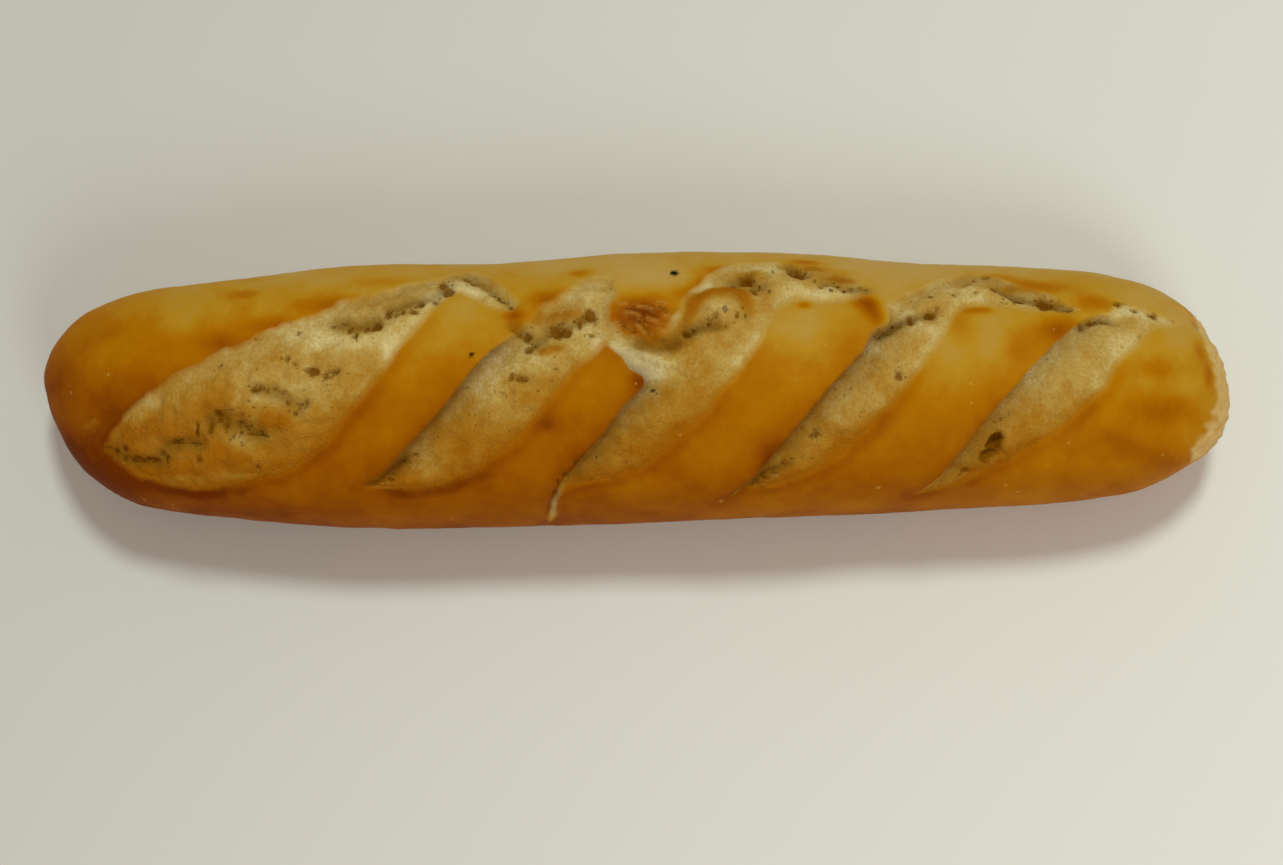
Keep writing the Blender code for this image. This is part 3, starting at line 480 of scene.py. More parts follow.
class Body:
    """The smooth loaf on an even lattice of end angle and share of half girth, read at any x and s."""

    def __init__(self, stations=901, shares=181, angles=241):
        t = np.linspace(0, np.pi, stations)
        self.x, middle, back, front, rise, drop = self.sections(t)
        sides, self.girths = [], []
        for side in (-1, 1):
            angle = side * np.linspace(0, np.pi, angles)[None, :]
            y, z = self.outline(angle, *(a[:, None] for a in (back, front, rise, drop)))
            y = y + middle[:, None]
            girth = np.cumsum(np.hypot(np.diff(y, prepend=y[:, :1]), np.diff(z, prepend=z[:, :1])), axis=1)
            total = np.maximum(girth[:, -1:], 1e-6)
            row = 2.0 * np.arange(stations)[:, None]
            even = np.linspace(0, 1, shares)[None, :] + row
            known = (girth / total + row).ravel()
            sides.append([np.interp(even, known, a.ravel()) for a in (y, z)])
            self.girths.append(total[:, 0])
        y, z = (np.concatenate([sides[0][k][:, :0:-1], sides[1][k]], axis=1) for k in (0, 1))
        self.points = np.stack([np.broadcast_to(self.x[:, None], y.shape), y + CENTRING_Y, z], axis=2)
        self.normals = np.cross(np.gradient(self.points, axis=1), np.gradient(self.points, axis=0))
        self.normals /= np.maximum(np.linalg.norm(self.normals, axis=2, keepdims=True), 1e-12)
        self.normals *= np.sign(self.normals[stations // 2, shares - 1, 2])

    @staticmethod
    def sections(t):
        """For each end angle: x, the middle line's y, the back and front half widths, the rise and the drop.

        The widths and the rise are sin t times a smooth curve, which rounds both ends like an ellipse.
        """
        x = -REACH * np.cos(t)
        roundness = np.sin(t)
        at_stations = np.sqrt(1 - (STATIONS / REACH) ** 2)
        middle = np.interp(x, [-REACH, REACH], TIP_BACK_Y)
        middle_at_stations = np.interp(STATIONS, [-REACH, REACH], TIP_BACK_Y)
        back = roundness * smooth_through(x, STATIONS, (BACK_EDGE - middle_at_stations) / at_stations)
        front = roundness * smooth_through(x, STATIONS, (middle_at_stations - FRONT_EDGE) / at_stations)
        rise = roundness * smooth_through(x, STATIONS, (CROWN_HEIGHT - WAIST_HEIGHT) / at_stations)
        lift = np.tanh(END_LIFT_RATE * roundness**END_LIFT_POWER) / np.tanh(END_LIFT_RATE)
        return x, middle, back, front, rise, (WAIST_HEIGHT + FOOT_CUT) * lift

    @staticmethod
    def outline(angle, back, front, rise, drop):
        """A rounded square section at an angle from the crown, cut flat at the foot."""
        up, out = np.cos(angle), np.sin(angle)
        squareness = np.where(up >= 0, UPPER_SQUARENESS, LOWER_SQUARENESS)
        radius = (np.abs(up) ** squareness + np.abs(out) ** squareness) ** (-1 / squareness)
        y = radius * out * np.where(out >= 0, back, front)
        z = WAIST_HEIGHT + radius * up * np.where(up >= 0, rise, drop)
        return y, np.maximum(0.5 * (z + np.sqrt(z * z + FOOT_ROUNDING**2)) - FOOT_LEVEL, 0)

    def half_girth(self, x, s):
        """The tape length from the crown to the middle of the foot, on the side where s is."""
        front, back = (np.interp(x, self.x, girth) for girth in self.girths)
        return np.where(s < 0, front, back)

    def at(self, x, s):
        """The point of the smooth body and its outward normal, blended between the lattice's corners."""
        stations, columns = self.points.shape[:2]
        u = np.arccos(np.clip(-x / REACH, -1, 1)) / np.pi * (stations - 1)
        w = (np.clip(s / self.half_girth(x, s), -1, 1) + 1) / 2 * (columns - 1)
        i, j = (np.clip(np.floor(a).astype(int), 0, n - 2) for a, n in ((u, stations), (w, columns)))
        fu, fw = (u - i)[..., None], (w - j)[..., None]
        found = []
        for field in (self.points, self.normals):
            low = field[i, j] * (1 - fu) + field[i + 1, j] * fu
            high = field[i, j + 1] * (1 - fu) + field[i + 1, j + 1] * fu
            found.append(low * (1 - fw) + high * fw)
        return found


def even_rows():
    """Shares of the half girth for the grid's rows: close over the openings, wider apart down the sides."""
    sample = np.linspace(-HALF_GIRTH_GUESS, HALF_GIRTH_GUESS, 4001)
    outside = np.maximum(np.maximum(FINE_FRONT - sample, sample - FINE_BACK), 0)
    spacing = CELL + (SIDE_CELL - CELL) * smooth_step(outside / CELL_GROWTH)
    count = np.concatenate([[0], np.cumsum(np.diff(sample) / spacing[1:])])
    rows = np.interp(np.linspace(0, count[-1], int(count[-1]) + 1), count, sample)
    return rows[:-1] / HALF_GIRTH_GUESS


def even_columns():
    """x of the grid's columns, a cell apart along the loaf's back and round its tips."""
    t = np.linspace(0, np.pi, 4001)
    speed = np.hypot(REACH * np.sin(t), HALF_WIDTH_GUESS * np.cos(t))
    length = np.concatenate([[0], np.cumsum(speed[1:] * np.diff(t))])
    at = np.linspace(0, length[-1], int(length[-1] / CELL) + 1)[1:-1]
    return -REACH * np.cos(np.interp(at, length, t))


def opening_lines(name):
    """The ear's line and the flush line of an opening, torn, and joined where they meet."""
    opening = OPENINGS[name]
    seed = 40 + 10 * list(OPENINGS).index(name)
    ear = torn_line(opening["ear"], opening["tear"], seed)
    flush = torn_line(opening["flush"], ([0, 1], [FLUSH_TEAR, FLUSH_TEAR]), seed + 5)
    return np.concatenate([flush[-1:], ear]), np.concatenate([ear[-1:], flush, ear[:1]])


def snapped(x, s):
    """Moves each grid point that is within half a cell of an opening's edge onto that edge."""
    for name in OPENINGS:
        ear, flush = opening_lines(name)
        outline = np.concatenate([ear, flush[1:]])
        near = near_line(outline, x, s, 1.0)
        distance, _, at_x, at_s = nearest(outline, x[near], s[near])
        move = distance < SNAP_SHARE * CELL
        x[near] = np.where(move, at_x, x[near])
        s[near] = np.where(move, at_s, s[near])
    return x, s


def near_line(line, x, s, margin):
    """Which points are in the line's own box, widened by a margin."""
    low, high = line.min(axis=0) - margin, line.max(axis=0) + margin
    return (x > low[0]) & (x < high[0]) & (s > low[1]) & (s < high[1])


def loaf_fields(x, s, overhang_share, ear_share):
    """Relief and looks at every x and s, as flat arrays.

    Each opening adds to the crust outside it a rise towards its ear, exp(-distance / reach), and a dip at its
    flush edge. Inside, its floor is a swell less a depth that is greatest beside the ear. The lip's profile
    carries the wall from the ear's height down to that floor, while the skin is pulled back under the ear.
    """
    count = len(x)
    height = BODY_SWELL[0] * lumps(x, s, BODY_SWELL[1], 3)
    height += (CRUST_RIPPLE[0] * lumps(x, s, CRUST_RIPPLE[1], 21)
               + CRUST_GRAIN[0] * lumps(x, s, CRUST_GRAIN[1], 22))
    height += CAP_DENTS[0] * lumps(x, s, CAP_DENTS[1], 23) * smooth_step((x - CAP_START) / CAP_BLEND)
    shift_x, shift_s = np.zeros(count), np.zeros(count)
    edge = np.full(count, FAR_OUTSIDE)
    softness, to_ear_all, to_flush_all = np.ones(count), np.full(count, FAR), np.full(count, FAR)
    torn, painted_ear_shade = np.zeros(count, bool), np.zeros(count)
    for name, opening in OPENINGS.items():
        ear, flush = opening_lines(name)
        outline = np.concatenate([ear, flush[1:-1]])
        near = np.nonzero(near_line(outline, x, s, SEARCH_MARGIN))[0]
        px, ps = x[near], s[near]
        to_ear, along, ear_x, ear_s = nearest(ear, px, ps)
        to_flush, _, _, _ = nearest(flush, px, ps)
        crumb = inside(outline, px, ps) & (np.minimum(to_ear, to_flush) > ON_EDGE)
        width = to_ear + to_flush
        across = to_ear / np.maximum(width, 1e-6)
        rise = np.interp(along, *opening["rise"]) * ear_share
        crust = rise * np.exp(-to_ear / EAR_REACH)
        crust -= FLUSH_SINK * np.exp(-to_flush / FLUSH_REACH)
        room = smooth_step(width / FULL_WIDTH)
        lifted = smooth_step(np.interp(along, *opening["rise"]) / FULL_RISE)
        depth = np.minimum(opening["deepest"], DEPTH_TO_WIDTH * width) * (1 - across) ** DEPTH_FALL
        depth = depth * (DEPTH_AT_LOW_EAR + (1 - DEPTH_AT_LOW_EAR) * lifted)
        floor = CRUMB_SWELL * np.minimum(width, SWELL_WIDTH) * np.sin(np.pi * across) - depth
        edge_fade = smooth_step(np.minimum(to_ear, to_flush) / CRUMB_EDGE_FADE)
        floor += edge_fade * (CRUMB_LUMPS[0] * lumps(px, ps, CRUMB_LUMPS[1], 5)
                              + CRUMB_KNOBS[0] * lumps(px, ps, CRUMB_KNOBS[1], 6)
                              + CRUMB_GRAIN[0] * lumps(px, ps, CRUMB_GRAIN[1], 7))
        wall = np.interp(to_ear, LIP_PLACES, LIP_WALL)
        wall = wall * room + np.exp(-((to_ear / NARROW_LIP) ** 2)) * (1 - room)
        inner = floor + (crust - floor) * wall
        height[near] += np.where(crumb, inner, crust)
        pull = np.interp(to_ear, LIP_PLACES, LIP_SHIFT) * opening["overhang"] * overhang_share * room
        outer = opening["overhang"] * overhang_share * LIP_SHIFT[0] * np.exp(-to_ear / LIP_OUTER_REACH) * room
        reach = np.maximum(to_ear, 1e-6)
        away_x, away_s = (px - ear_x) / reach, (ps - ear_s) / reach
        move = np.where(crumb, pull, -outer) * (to_ear > ON_EDGE) * lifted
        shift_x[near] += move * away_x
        shift_s[near] += move * away_s
        under = LIP_UNDERCUT * lifted
        signed = np.where(crumb, np.minimum(to_ear - under, to_flush), -np.minimum(to_ear + under, to_flush))
        better = signed > edge[near]
        edge[near] = np.where(better, signed, edge[near])
        ragged = np.clip(np.interp(along, *opening["tear"]) / 0.7, 0, 1)
        softness[near] = np.where(better, np.maximum(across, ragged), softness[near])
        to_ear_all[near] = np.minimum(to_ear_all[near], to_ear)
        to_flush_all[near] = np.minimum(to_flush_all[near], to_flush)
        torn[near] |= crumb
        # Painted shade: the crumb beside a raised ear is marked here, and the material darkens it there
        beside = np.exp(-((to_ear / PAINTED_EAR_SHADE_REACH) ** 2))
        painted_ear_shade[near] = np.maximum(painted_ear_shade[near], crumb * lifted * room * beside)
    patch = np.hypot((x - TORN_PATCH[0]) / TORN_PATCH[2], (s - TORN_PATCH[1]) / TORN_PATCH[3])
    into_patch = 0.1 - patch + 0.9 * lumps(x, s, 1.2, 39)
    found = {
        "height": height, "shift_x": shift_x, "shift_s": shift_s, "edge": np.maximum(edge, into_patch),
        "softness": softness, "bake": bake(x, s, to_ear_all, to_flush_all), "burnt": burnt(x, s),
        "painted_ear_shade": painted_ear_shade,
    }
    carve(found, torn, x, s)
    found["toast"] = np.clip(toast(x, s, to_flush_all) + found.pop("golden"), 0, 1)
    return found


def along_line(points, half_width, x, s, seed):
    """Points near a wandering line, and how near: a bell curve of distance, less at a long line's ends."""
    line = torn_line(points, ([0, 1], [0.3, 0.3]), seed)
    near = np.nonzero(near_line(line, x, s, 3 * half_width))[0]
    away, share, _, _ = nearest(line, x[near], s[near])
    length = np.linalg.norm(np.diff(line, axis=0), axis=1).sum()
    slender = smooth_step(length / (5 * half_width) - 0.6)
    ends = smooth_step(share / 0.15) * smooth_step((1 - share) / 0.15)
    return near, np.exp(-((away / half_width) ** 2)) * (1 - 0.75 * slender * (1 - ends))


def carve(found, torn, x, s):
    """Sinks folds, burst bubbles and crevices into the skin, raises ridges and flakes, and marks each; folds,
    crevices and bubbles are also marked for painted shade.
    """
    height = found["height"]
    golden, flake, painted_crease_shade = np.zeros(len(x)), np.zeros(len(x)), np.zeros(len(x))
    for k, (points, depth, half_width) in enumerate(FOLDS + CREVICES):
        near, share = along_line(points, half_width, x, s, 90 + k)
        height[near] -= depth * share
        # Painted shade: folds and crevices are marked for darkening in the colour, more strongly where they
        # sink further
        painted_crease_shade[near] = np.maximum(painted_crease_shade[near], share * min(1.0, 0.45 + depth / 3))
    for k, (points, rise, half_width, colour) in enumerate(RIDGES):
        near, share = along_line(points, half_width, x, s, 120 + k)
        height[near] += rise * share
        golden[near] += colour * share
    for k, (points, rise, half_width) in enumerate(FLAKES):
        near, share = along_line(points, half_width, x, s, 140 + k)
        height[near] += rise * share
        flake[near] = np.maximum(flake[near], share)
    hole, pores = np.zeros(len(x)), 0.2 + 0.25 * lumps(x, s, 4.0, 36)
    wander = 1 + 0.3 * lumps(x, s, 0.9, 37)
    for place_x, place_s, reach_x, reach_s in HOLES:
        near = np.nonzero((np.abs(x - place_x) < reach_x + 4) & (np.abs(s - place_s) < reach_s + 4))[0]
        dx, ds = x[near] - place_x, s[near] - place_s
        wide, tall = (max(HOLE_SPREAD * reach, HOLE_LEAST) for reach in (reach_x, reach_s))
        away = np.hypot(dx / wide, ds / tall) * wander[near]
        # Painted shade: each burst bubble is marked for darkening in the colour, besides being sunk
        hole[near] = np.maximum(hole[near], min(1, 0.62 + 0.35 * reach_x * reach_s) * (1 - 0.5 * away**2))
        sunk = HOLE_DEPTH * min(wide, tall) * np.clip(1.1 - away**3, 0, 1)
        height[near] -= sunk
        pores[near] = np.maximum(pores[near], np.exp(-((dx / (wide + 0.8)) ** 2 + (ds / (tall + 0.8)) ** 2)))
    layers = flaky(x, s) * ~torn
    phase = (s + 0.35 * x) / FLAKE_PITCH + 1.3 * lumps(x, s, 2.6, 8)
    step = phase - np.floor(phase)
    height += layers * (FLAKE_HEIGHT * step - FLAKE_HEIGHT)
    raised, there = rim(x, s)
    found.update({
        "height": height + raised, "painted_crease_shade": painted_crease_shade, "golden": golden, "flake": flake,
        "hole": np.clip(hole, 0, 1), "pores": np.clip(pores, 0, 1), "flaky": layers, "rim": there,
    })


def flaky(x, s):
    """Where the crust above the middle opening is torn in layers, from 0 to 1."""
    away = nearest(np.concatenate([FLAKY_OUTLINE, FLAKY_OUTLINE[:1]]), x, s)[0]
    signed = np.where(inside(FLAKY_OUTLINE, x, s), away, -away)
    return smooth_step(0.5 + signed / 1.6 + 0.3 * lumps(x, s, 1.1, 38))


def rim(x, s):
    """The right tip's torn rim: rough crust a little raised, and where it is."""
    beyond = x - np.interp(s, *RIM_BORDER)
    frayed = 0.9 * lumps(x, s, 1.8, 13)
    span = smooth_step((s - RIM_SPAN[0]) / 3 + frayed) * smooth_step((RIM_SPAN[1] - s) / 3 + frayed)
    there = span * smooth_step(0.5 + beyond / 2.2 + 0.6 * lumps(x, s, 1.5, 10))
    return there * RIM_HEIGHT * (1 + 2.0 * lumps(x, s, RIM_LUMPS_CELL, 9) + 1.2 * lumps(x, s, 0.7, 12)), there


def bake(x, s, to_ear, to_flush):
    """How brown the crust is: more in front, at the left tip and along edges, less at the back, and spots."""
    amount = np.interp(s, *BAKE_ROUND) + np.interp(x, *BAKE_ALONG)
    amount += BAKE_LEFT_TIP * smooth_step((-x - LEFT_TIP_START) / LEFT_TIP_BLEND)
    low = 0.3 + 0.7 * smooth_step((12 - s) / 22)
    at_flush = np.exp(-(((to_flush - 1.4) / 1.5) ** 2))
    amount += low * np.maximum(BAKE_EAR * np.exp(-to_ear / 2.8), BAKE_FLUSH * at_flush)
    for place in SPOTS:
        amount += place[4] * blob(x, s, *place[:4])
    amount += 0.08 * lumps(x, s, 9.0, 31) + 0.05 * lumps(x, s, 3.8, 32)
    return np.clip(amount, 0, 1.2)


def toast(x, s, to_flush):
    """How golden the crumb is: more beside the flush edge and to the front, and spots."""
    amount = 0.36 + 0.28 * smooth_step((8 - s) / 30)
    amount += 0.55 * np.exp(-to_flush / 2.4) * smooth_step((4 - s) / 22)
    for place in CRUMB_SPOTS:
        amount += place[4] * blob(x, s, *place[:4])
    amount -= 0.10 * np.exp(-(((to_flush - 1.2) / 1.2) ** 2)) * smooth_step((s + 14) / 8)
    return amount + 0.16 * lumps(x, s, 6.0, 33) + 0.10 * lumps(x, s, 2.0, 34)


def burnt(x, s):
    """Where a burnt crumb sticks to the crust, from 0 to 1."""
    amount = np.zeros(len(x))
    for place_x, place_s, reach_x, reach_s in BURNT:
        away = np.hypot((x - place_x) / reach_x, (s - place_s) / reach_s)
        amount = np.maximum(amount, smooth_step((1.4 - away) / 0.6))
    return amount


def closed_grid_faces(columns, rows):
    """Quads of rings that close on themselves, and a fan of triangles round the point at each tip."""
    i, j = np.meshgrid(np.arange(columns - 1), np.arange(rows), indexing="ij")
    after = (j + 1) % rows
    quads = np.stack([i * rows + j, i * rows + after, (i + 1) * rows + after, (i + 1) * rows + j], axis=-1)
    ring = np.arange(rows)
    following = (ring + 1) % rows
    last = (columns - 1) * rows
    left = np.stack([following, ring, np.full(rows, columns * rows)], axis=1)
    right = np.stack([last + ring, last + following, np.full(rows, columns * rows + 1)], axis=1)
    return quads.reshape(-1, 4).tolist() + left.tolist() + right.tolist()


def loaf_surface(overhang_share, ear_share):
    """The loaf's points, in metres, its faces, and its looks at every point.

    A grid of x and s is moved onto the openings' edges, and each point is then pulled sideways along the skin
    by the lips' overhang. Last it is raised from the smooth body along the normal by its relief, which fades
    towards the underside and the tips. The browning evens out towards the underside.
    """
    body = Body()
    columns, rows = even_columns(), even_rows()
    x = np.repeat(columns, len(rows))
    s = (rows[None, :] * body.half_girth(columns[:, None], rows[None, :])).ravel()
    x, s = snapped(x, s)
    fields = loaf_fields(x, s, overhang_share, ear_share)
    place, normal = body.at(x + fields["shift_x"], s + fields["shift_s"])
    share = np.abs(np.tile(rows, len(columns)))
    underside = smooth_step((share - UNDERSIDE_SHARE) / (UNDERSIDE_FULL - UNDERSIDE_SHARE))
    fields["bake"] += underside * (BAKE_UNDERSIDE - fields["bake"])
    fade = smooth_step((place[:, 2] - FOOT_FADE_START) / FOOT_FADE_REACH) * (1 - underside)
    tips = smooth_step(np.sqrt(1 - (x / REACH) ** 2) / TIP_FADE)
    points = place + normal * (fields["height"] * fade * tips)[:, None]
    points[:, 2] = np.maximum(points[:, 2], 0)
    rings = points.reshape(len(columns), len(rows), 3)
    ends = np.stack([rings[0].mean(axis=0), rings[-1].mean(axis=0)])
    ends[:, 0] = (-REACH, REACH)
    points = np.concatenate([points, ends]) * MM
    looks = {}
    for key in LOOKS:
        values = fields[key].reshape(len(columns), len(rows))
        looks[key] = np.concatenate([values.ravel(), [values[0].mean(), values[-1].mean()]])
    return points, closed_grid_faces(len(columns), len(rows)), looks


def surface_object(name, points, faces, looks):
    """A mesh object at the origin, shaded smooth, with one attribute for each look."""
    mesh = bpy.data.meshes.new(name)
    mesh.from_pydata(points, [], faces)
    if mesh.validate():
        raise RuntimeError(f"{name} had faces that Blender had to mend")
    for key, values in looks.items():
        attribute = mesh.attributes.new(key, "FLOAT", "POINT")
        attribute.data.foreach_set("value", values.astype(np.float32))
    mesh.shade_smooth()
    piece = bpy.data.objects.new(name, mesh)
    bpy.context.scene.collection.objects.link(piece)
    return piece


def add_node(tree, kind, sockets, **settings):
    """Adds a node with its settings. A socket given another node's output is linked, and any other is set."""
    node = tree.nodes.new("ShaderNode" + kind)
    for key, value in settings.items():
        setattr(node, key, value)
    for key, value in sockets.items():
        if isinstance(value, bpy.types.NodeSocket):
            tree.links.new(value, node.inputs[key])
        else:
            node.inputs[key].default_value = value
    return node


def set_ramp(node, stops):
    """Gives a colour ramp its stops, as pairs of place and linear colour."""
    stops = list(stops)
    elements = node.color_ramp.elements
    while len(elements) < len(stops):
        elements.new(0.5)
    for element, (place, colour) in zip(elements, stops):
        element.position = place
        element.color = (*colour, 1)


def bread_material(crust, crumb):
    """Baked bread: a crust browned by heat over wheat crumb torn open by steam.

    The eye sees a satin skin from pale gold to chestnut, with faint mottling and pale specks that are partly
    blistered crust and partly painted glints, and in the openings a matt cream sponge with small holes. Its
    pores, burst bubbles, folds and crevices are darkened with painted shade, and so is the crumb beside each
    raised ear. The attribute edge is the distance into the crumb in millimetres, so the border between the
    two stays sharp between grid points.
    """
    material = bpy.data.materials.new("baked_wheat_bread")
    material.use_nodes = True
    tree = material.node_tree
    tree.nodes.clear()
    add = partial(add_node, tree)
    place = add("TexCoord", {}).outputs["Object"]
    look = {name: add("Attribute", {}, attribute_name=name).outputs["Fac"] for name in LOOKS}
    fine, medium, wide = (
        add("TexNoise", {"Vector": place, "Scale": 1000 / size, "Detail": 3.0,
                         "Roughness": 0.55}).outputs["Fac"] for size in GRAIN_SIZES)

    # Border of the crumb: 0.25 mm wide at a clean ear and 1.75 mm where it is torn, ragged as the grain is
    ragged = add("Math", {0: fine, 1: medium}, operation="ADD").outputs[0]
    ragged = add("Math", {0: ragged, 1: 1.0}, operation="SUBTRACT").outputs[0]
    reach = add("Math", {0: look["softness"], 1: 0.7, 2: 0.15}, operation="MULTIPLY_ADD").outputs[0]
    into = add("Math", {0: ragged, 1: reach, 2: look["edge"]}, operation="MULTIPLY_ADD").outputs[0]
    width = add("Math", {0: look["softness"], 1: 1.5, 2: 0.25}, operation="MULTIPLY_ADD").outputs[0]
    crumb_share = add("Math", {0: into, 1: width}, operation="DIVIDE").outputs[0]
    crumb_share = add("Math", {0: crumb_share, 1: 0.5}, operation="ADD", use_clamp=True).outputs[0]

    # Crust: browned by the attribute bake, mottled, with pale specks that reach 1 mm where it is brown; they
    # stand partly for blistered crust and partly for painted glints
    browning = add("Math", {0: medium, 1: 0.16, 2: look["bake"]}, operation="MULTIPLY_ADD").outputs[0]
    browning = add("Math", {0: browning, 1: 0.08}, operation="SUBTRACT").outputs[0]
    ramp = add("ValToRGB", {"Fac": browning})
    set_ramp(ramp, zip((0.0, 0.22, 0.40, 0.55, 0.70, 0.85, 1.0), crust))
    blisters_and_glints = add("TexVoronoi", {"Vector": place, "Scale": 1000 / BLISTER_AND_GLINT_SPACING})
    chance = add("SeparateColor", {"Color": blisters_and_glints.outputs["Color"]}).outputs[0]
    size = add("Math", {0: chance, 1: 0.86}, operation="SUBTRACT", use_clamp=True).outputs[0]
    size = add("Math", {0: size, 1: 1.8}, operation="MULTIPLY").outputs[0]
    size = add("Math", {0: size, 1: look["bake"]}, operation="MULTIPLY").outputs[0]
    blister_and_glint_speck = add("Math", {0: size, 1: blisters_and_glints.outputs["Distance"]}, operation="GREATER_THAN").outputs[0]
    blister_and_glint_speck = add("Math", {0: blister_and_glint_speck, 1: 0.45}, operation="MULTIPLY").outputs[0]
    skin = add("Mix", {0: blister_and_glint_speck, 6: ramp.outputs["Color"], 7: (*linear("#D8A850"), 1)},
               data_type="RGBA").outputs[2]
    torn = add("Math", {0: medium, 1: 1.1, 2: 0.15}, operation="MULTIPLY_ADD").outputs[0]
    torn = add("Math", {0: look["rim"], 1: torn}, operation="MULTIPLY", use_clamp=True).outputs[0]
    skin = add("Mix", {0: torn, 6: skin, 7: (*linear("#E2C47E"), 1)}, data_type="RGBA").outputs[2]
    # Painted shade: folds and crevices darken the crust towards dark brown
    dark = add("Math", {0: look["painted_crease_shade"], 1: 0.8}, operation="MULTIPLY").outputs[0]
    skin = add("Mix", {0: dark, 6: skin, 7: (*linear("#6B3A04"), 1)}, data_type="RGBA").outputs[2]
    fibres = add("TexNoise", {"Vector": place, "Scale": 1000 / FIBRE_WIDTH, "Detail": 2.0,
                              "Distortion": 1.5}).outputs["Fac"]
    fibres = add("Math", {0: fibres, 1: 0.52}, operation="SUBTRACT", use_clamp=True).outputs[0]
    fibres = add("Math", {0: fibres, 1: 2.0}, operation="MULTIPLY").outputs[0]
    fibres = add("Math", {0: fibres, 1: look["flaky"]}, operation="MULTIPLY").outputs[0]
    pale = add("Math", {0: look["flake"], 1: 0.75}, operation="MULTIPLY").outputs[0]
    pale = add("Math", {0: pale, 1: fibres}, operation="MAXIMUM").outputs[0]
    skin = add("Mix", {0: pale, 6: skin, 7: (*linear("#C68A34"), 1)}, data_type="RGBA").outputs[2]

    # Crumb: golden by the attribute toast, with pores up to 0.8 mm wide, wider and closer where it burst; the
    # pores are dark with painted shade
    golden = add("Math", {0: medium, 1: 0.28, 2: look["toast"]}, operation="MULTIPLY_ADD").outputs[0]
    golden = add("Math", {0: fine, 1: 0.50, 2: golden}, operation="MULTIPLY_ADD").outputs[0]
    golden = add("Math", {0: golden, 1: 0.38}, operation="SUBTRACT").outputs[0]
    ramp = add("ValToRGB", {"Fac": golden})
    set_ramp(ramp, zip((0.0, 0.32, 0.62, 0.95), crumb[:4]))
    cells = add("TexVoronoi", {"Vector": place, "Scale": 1000 / PORE_SPACING})
    chance = add("SeparateColor", {"Color": cells.outputs["Color"]}).outputs[1]
    size = add("Math", {0: look["pores"], 1: 0.45, 2: chance}, operation="MULTIPLY_ADD").outputs[0]
    size = add("Math", {0: size, 1: 0.83}, operation="SUBTRACT", use_clamp=True).outputs[0]
    pore = add("Math", {0: size, 1: cells.outputs["Distance"]}, operation="SUBTRACT").outputs[0]
    pore = add("Math", {0: pore, 1: 9.0}, operation="MULTIPLY", use_clamp=True).outputs[0]
    hole = add("Math", {0: fine, 1: 0.35, 2: look["hole"]}, operation="MULTIPLY_ADD").outputs[0]
    hole = add("Math", {0: hole, 1: 0.63}, operation="SUBTRACT").outputs[0]
    hole = add("Math", {0: hole, 1: 3.0}, operation="MULTIPLY", use_clamp=True).outputs[0]
    threads = add("Math", {0: fine, 1: 0.5}, operation="SUBTRACT", use_clamp=True).outputs[0]
    threads = add("Math", {0: threads, 1: 2.4}, operation="MULTIPLY").outputs[0]
    threads = add("Math", {0: threads, 1: look["pores"]}, operation="MULTIPLY").outputs[0]
    sponge = add("Mix", {0: threads, 6: ramp.outputs["Color"], 7: (*crumb[1], 1)},
                 data_type="RGBA").outputs[2]
    # Painted shade: pores, folds and crevices darken the crumb towards its darkest colour
    shade = add("Math", {0: look["painted_crease_shade"], 1: 0.75}, operation="MULTIPLY").outputs[0]
    shade = add("Math", {0: pore, 1: 0.5, 2: shade}, operation="MULTIPLY_ADD", use_clamp=True).outputs[0]
    sponge = add("Mix", {0: shade, 6: sponge, 7: (*crumb[4], 1)}, data_type="RGBA").outputs[2]
    # Painted shade: the crumb beside each raised ear is multiplied darker and greyer
    sponge = add("Mix", {0: look["painted_ear_shade"], 6: sponge, 7: (0.54, 0.50, 0.62, 1)}, data_type="RGBA",
                 blend_type="MULTIPLY").outputs[2]

    colour = add("Mix", {0: crumb_share, 6: skin, 7: sponge}, data_type="RGBA").outputs[2]
    # Painted shade: the burst bubbles are darkened towards dark brown
    dark = add("Math", {0: hole, 1: 0.88}, operation="MULTIPLY").outputs[0]
    colour = add("Mix", {0: dark, 6: colour, 7: (*linear("#7E4C02"), 1)}, data_type="RGBA").outputs[2]
    colour = add("Mix", {0: look["burnt"], 6: colour, 7: (*linear("#140A06"), 1)},
                 data_type="RGBA").outputs[2]

    # Relief too fine for the grid: crust wrinkles a few hundredths of a millimetre high, and coarser sponge
    wrinkles = add("Math", {0: fine, 1: wide}, operation="ADD").outputs[0]
    wrinkles = add("Math", {0: wrinkles, 1: 0.05 * MM}, operation="MULTIPLY").outputs[0]
    flaking = add("Math", {0: fibres, 1: 0.25 * MM, 2: wrinkles}, operation="MULTIPLY_ADD").outputs[0]
    bubbly = add("Math", {0: fine, 1: 0.35 * MM}, operation="MULTIPLY").outputs[0]
    bubbly = add("Math", {0: pore, 1: -0.1 * MM, 2: bubbly}, operation="MULTIPLY_ADD").outputs[0]
    relief = add("Mix", {0: crumb_share, 2: flaking, 3: bubbly}, data_type="FLOAT").outputs[0]
    relief = add("Math", {0: hole, 1: -0.4 * MM, 2: relief}, operation="MULTIPLY_ADD").outputs[0]
    bump = add("Bump", {"Height": relief, "Strength": 1.0, "Distance": 1.0})
    roughness = add("Math", {0: crumb_share, 1: 0.40, 2: 0.48}, operation="MULTIPLY_ADD").outputs[0]
    gloss = add("Math", {0: crumb_share, 1: hole}, operation="MAXIMUM").outputs[0]
    gloss = add("Math", {0: gloss, 1: -0.02, 2: 0.02}, operation="MULTIPLY_ADD").outputs[0]
    shader = add("BsdfPrincipled", {"IOR": 1.45, "Specular IOR Level": gloss, "Base Color": colour,
                                    "Roughness": roughness, "Normal": bump.outputs["Normal"]})
    add("OutputMaterial", {"Surface": shader.outputs[0]})
    return material


CRUST_HEX = ("#CDAA62", "#C79F45", "#C59320", "#BD7A02", "#AF6800", "#9C5300", "#7A3600")
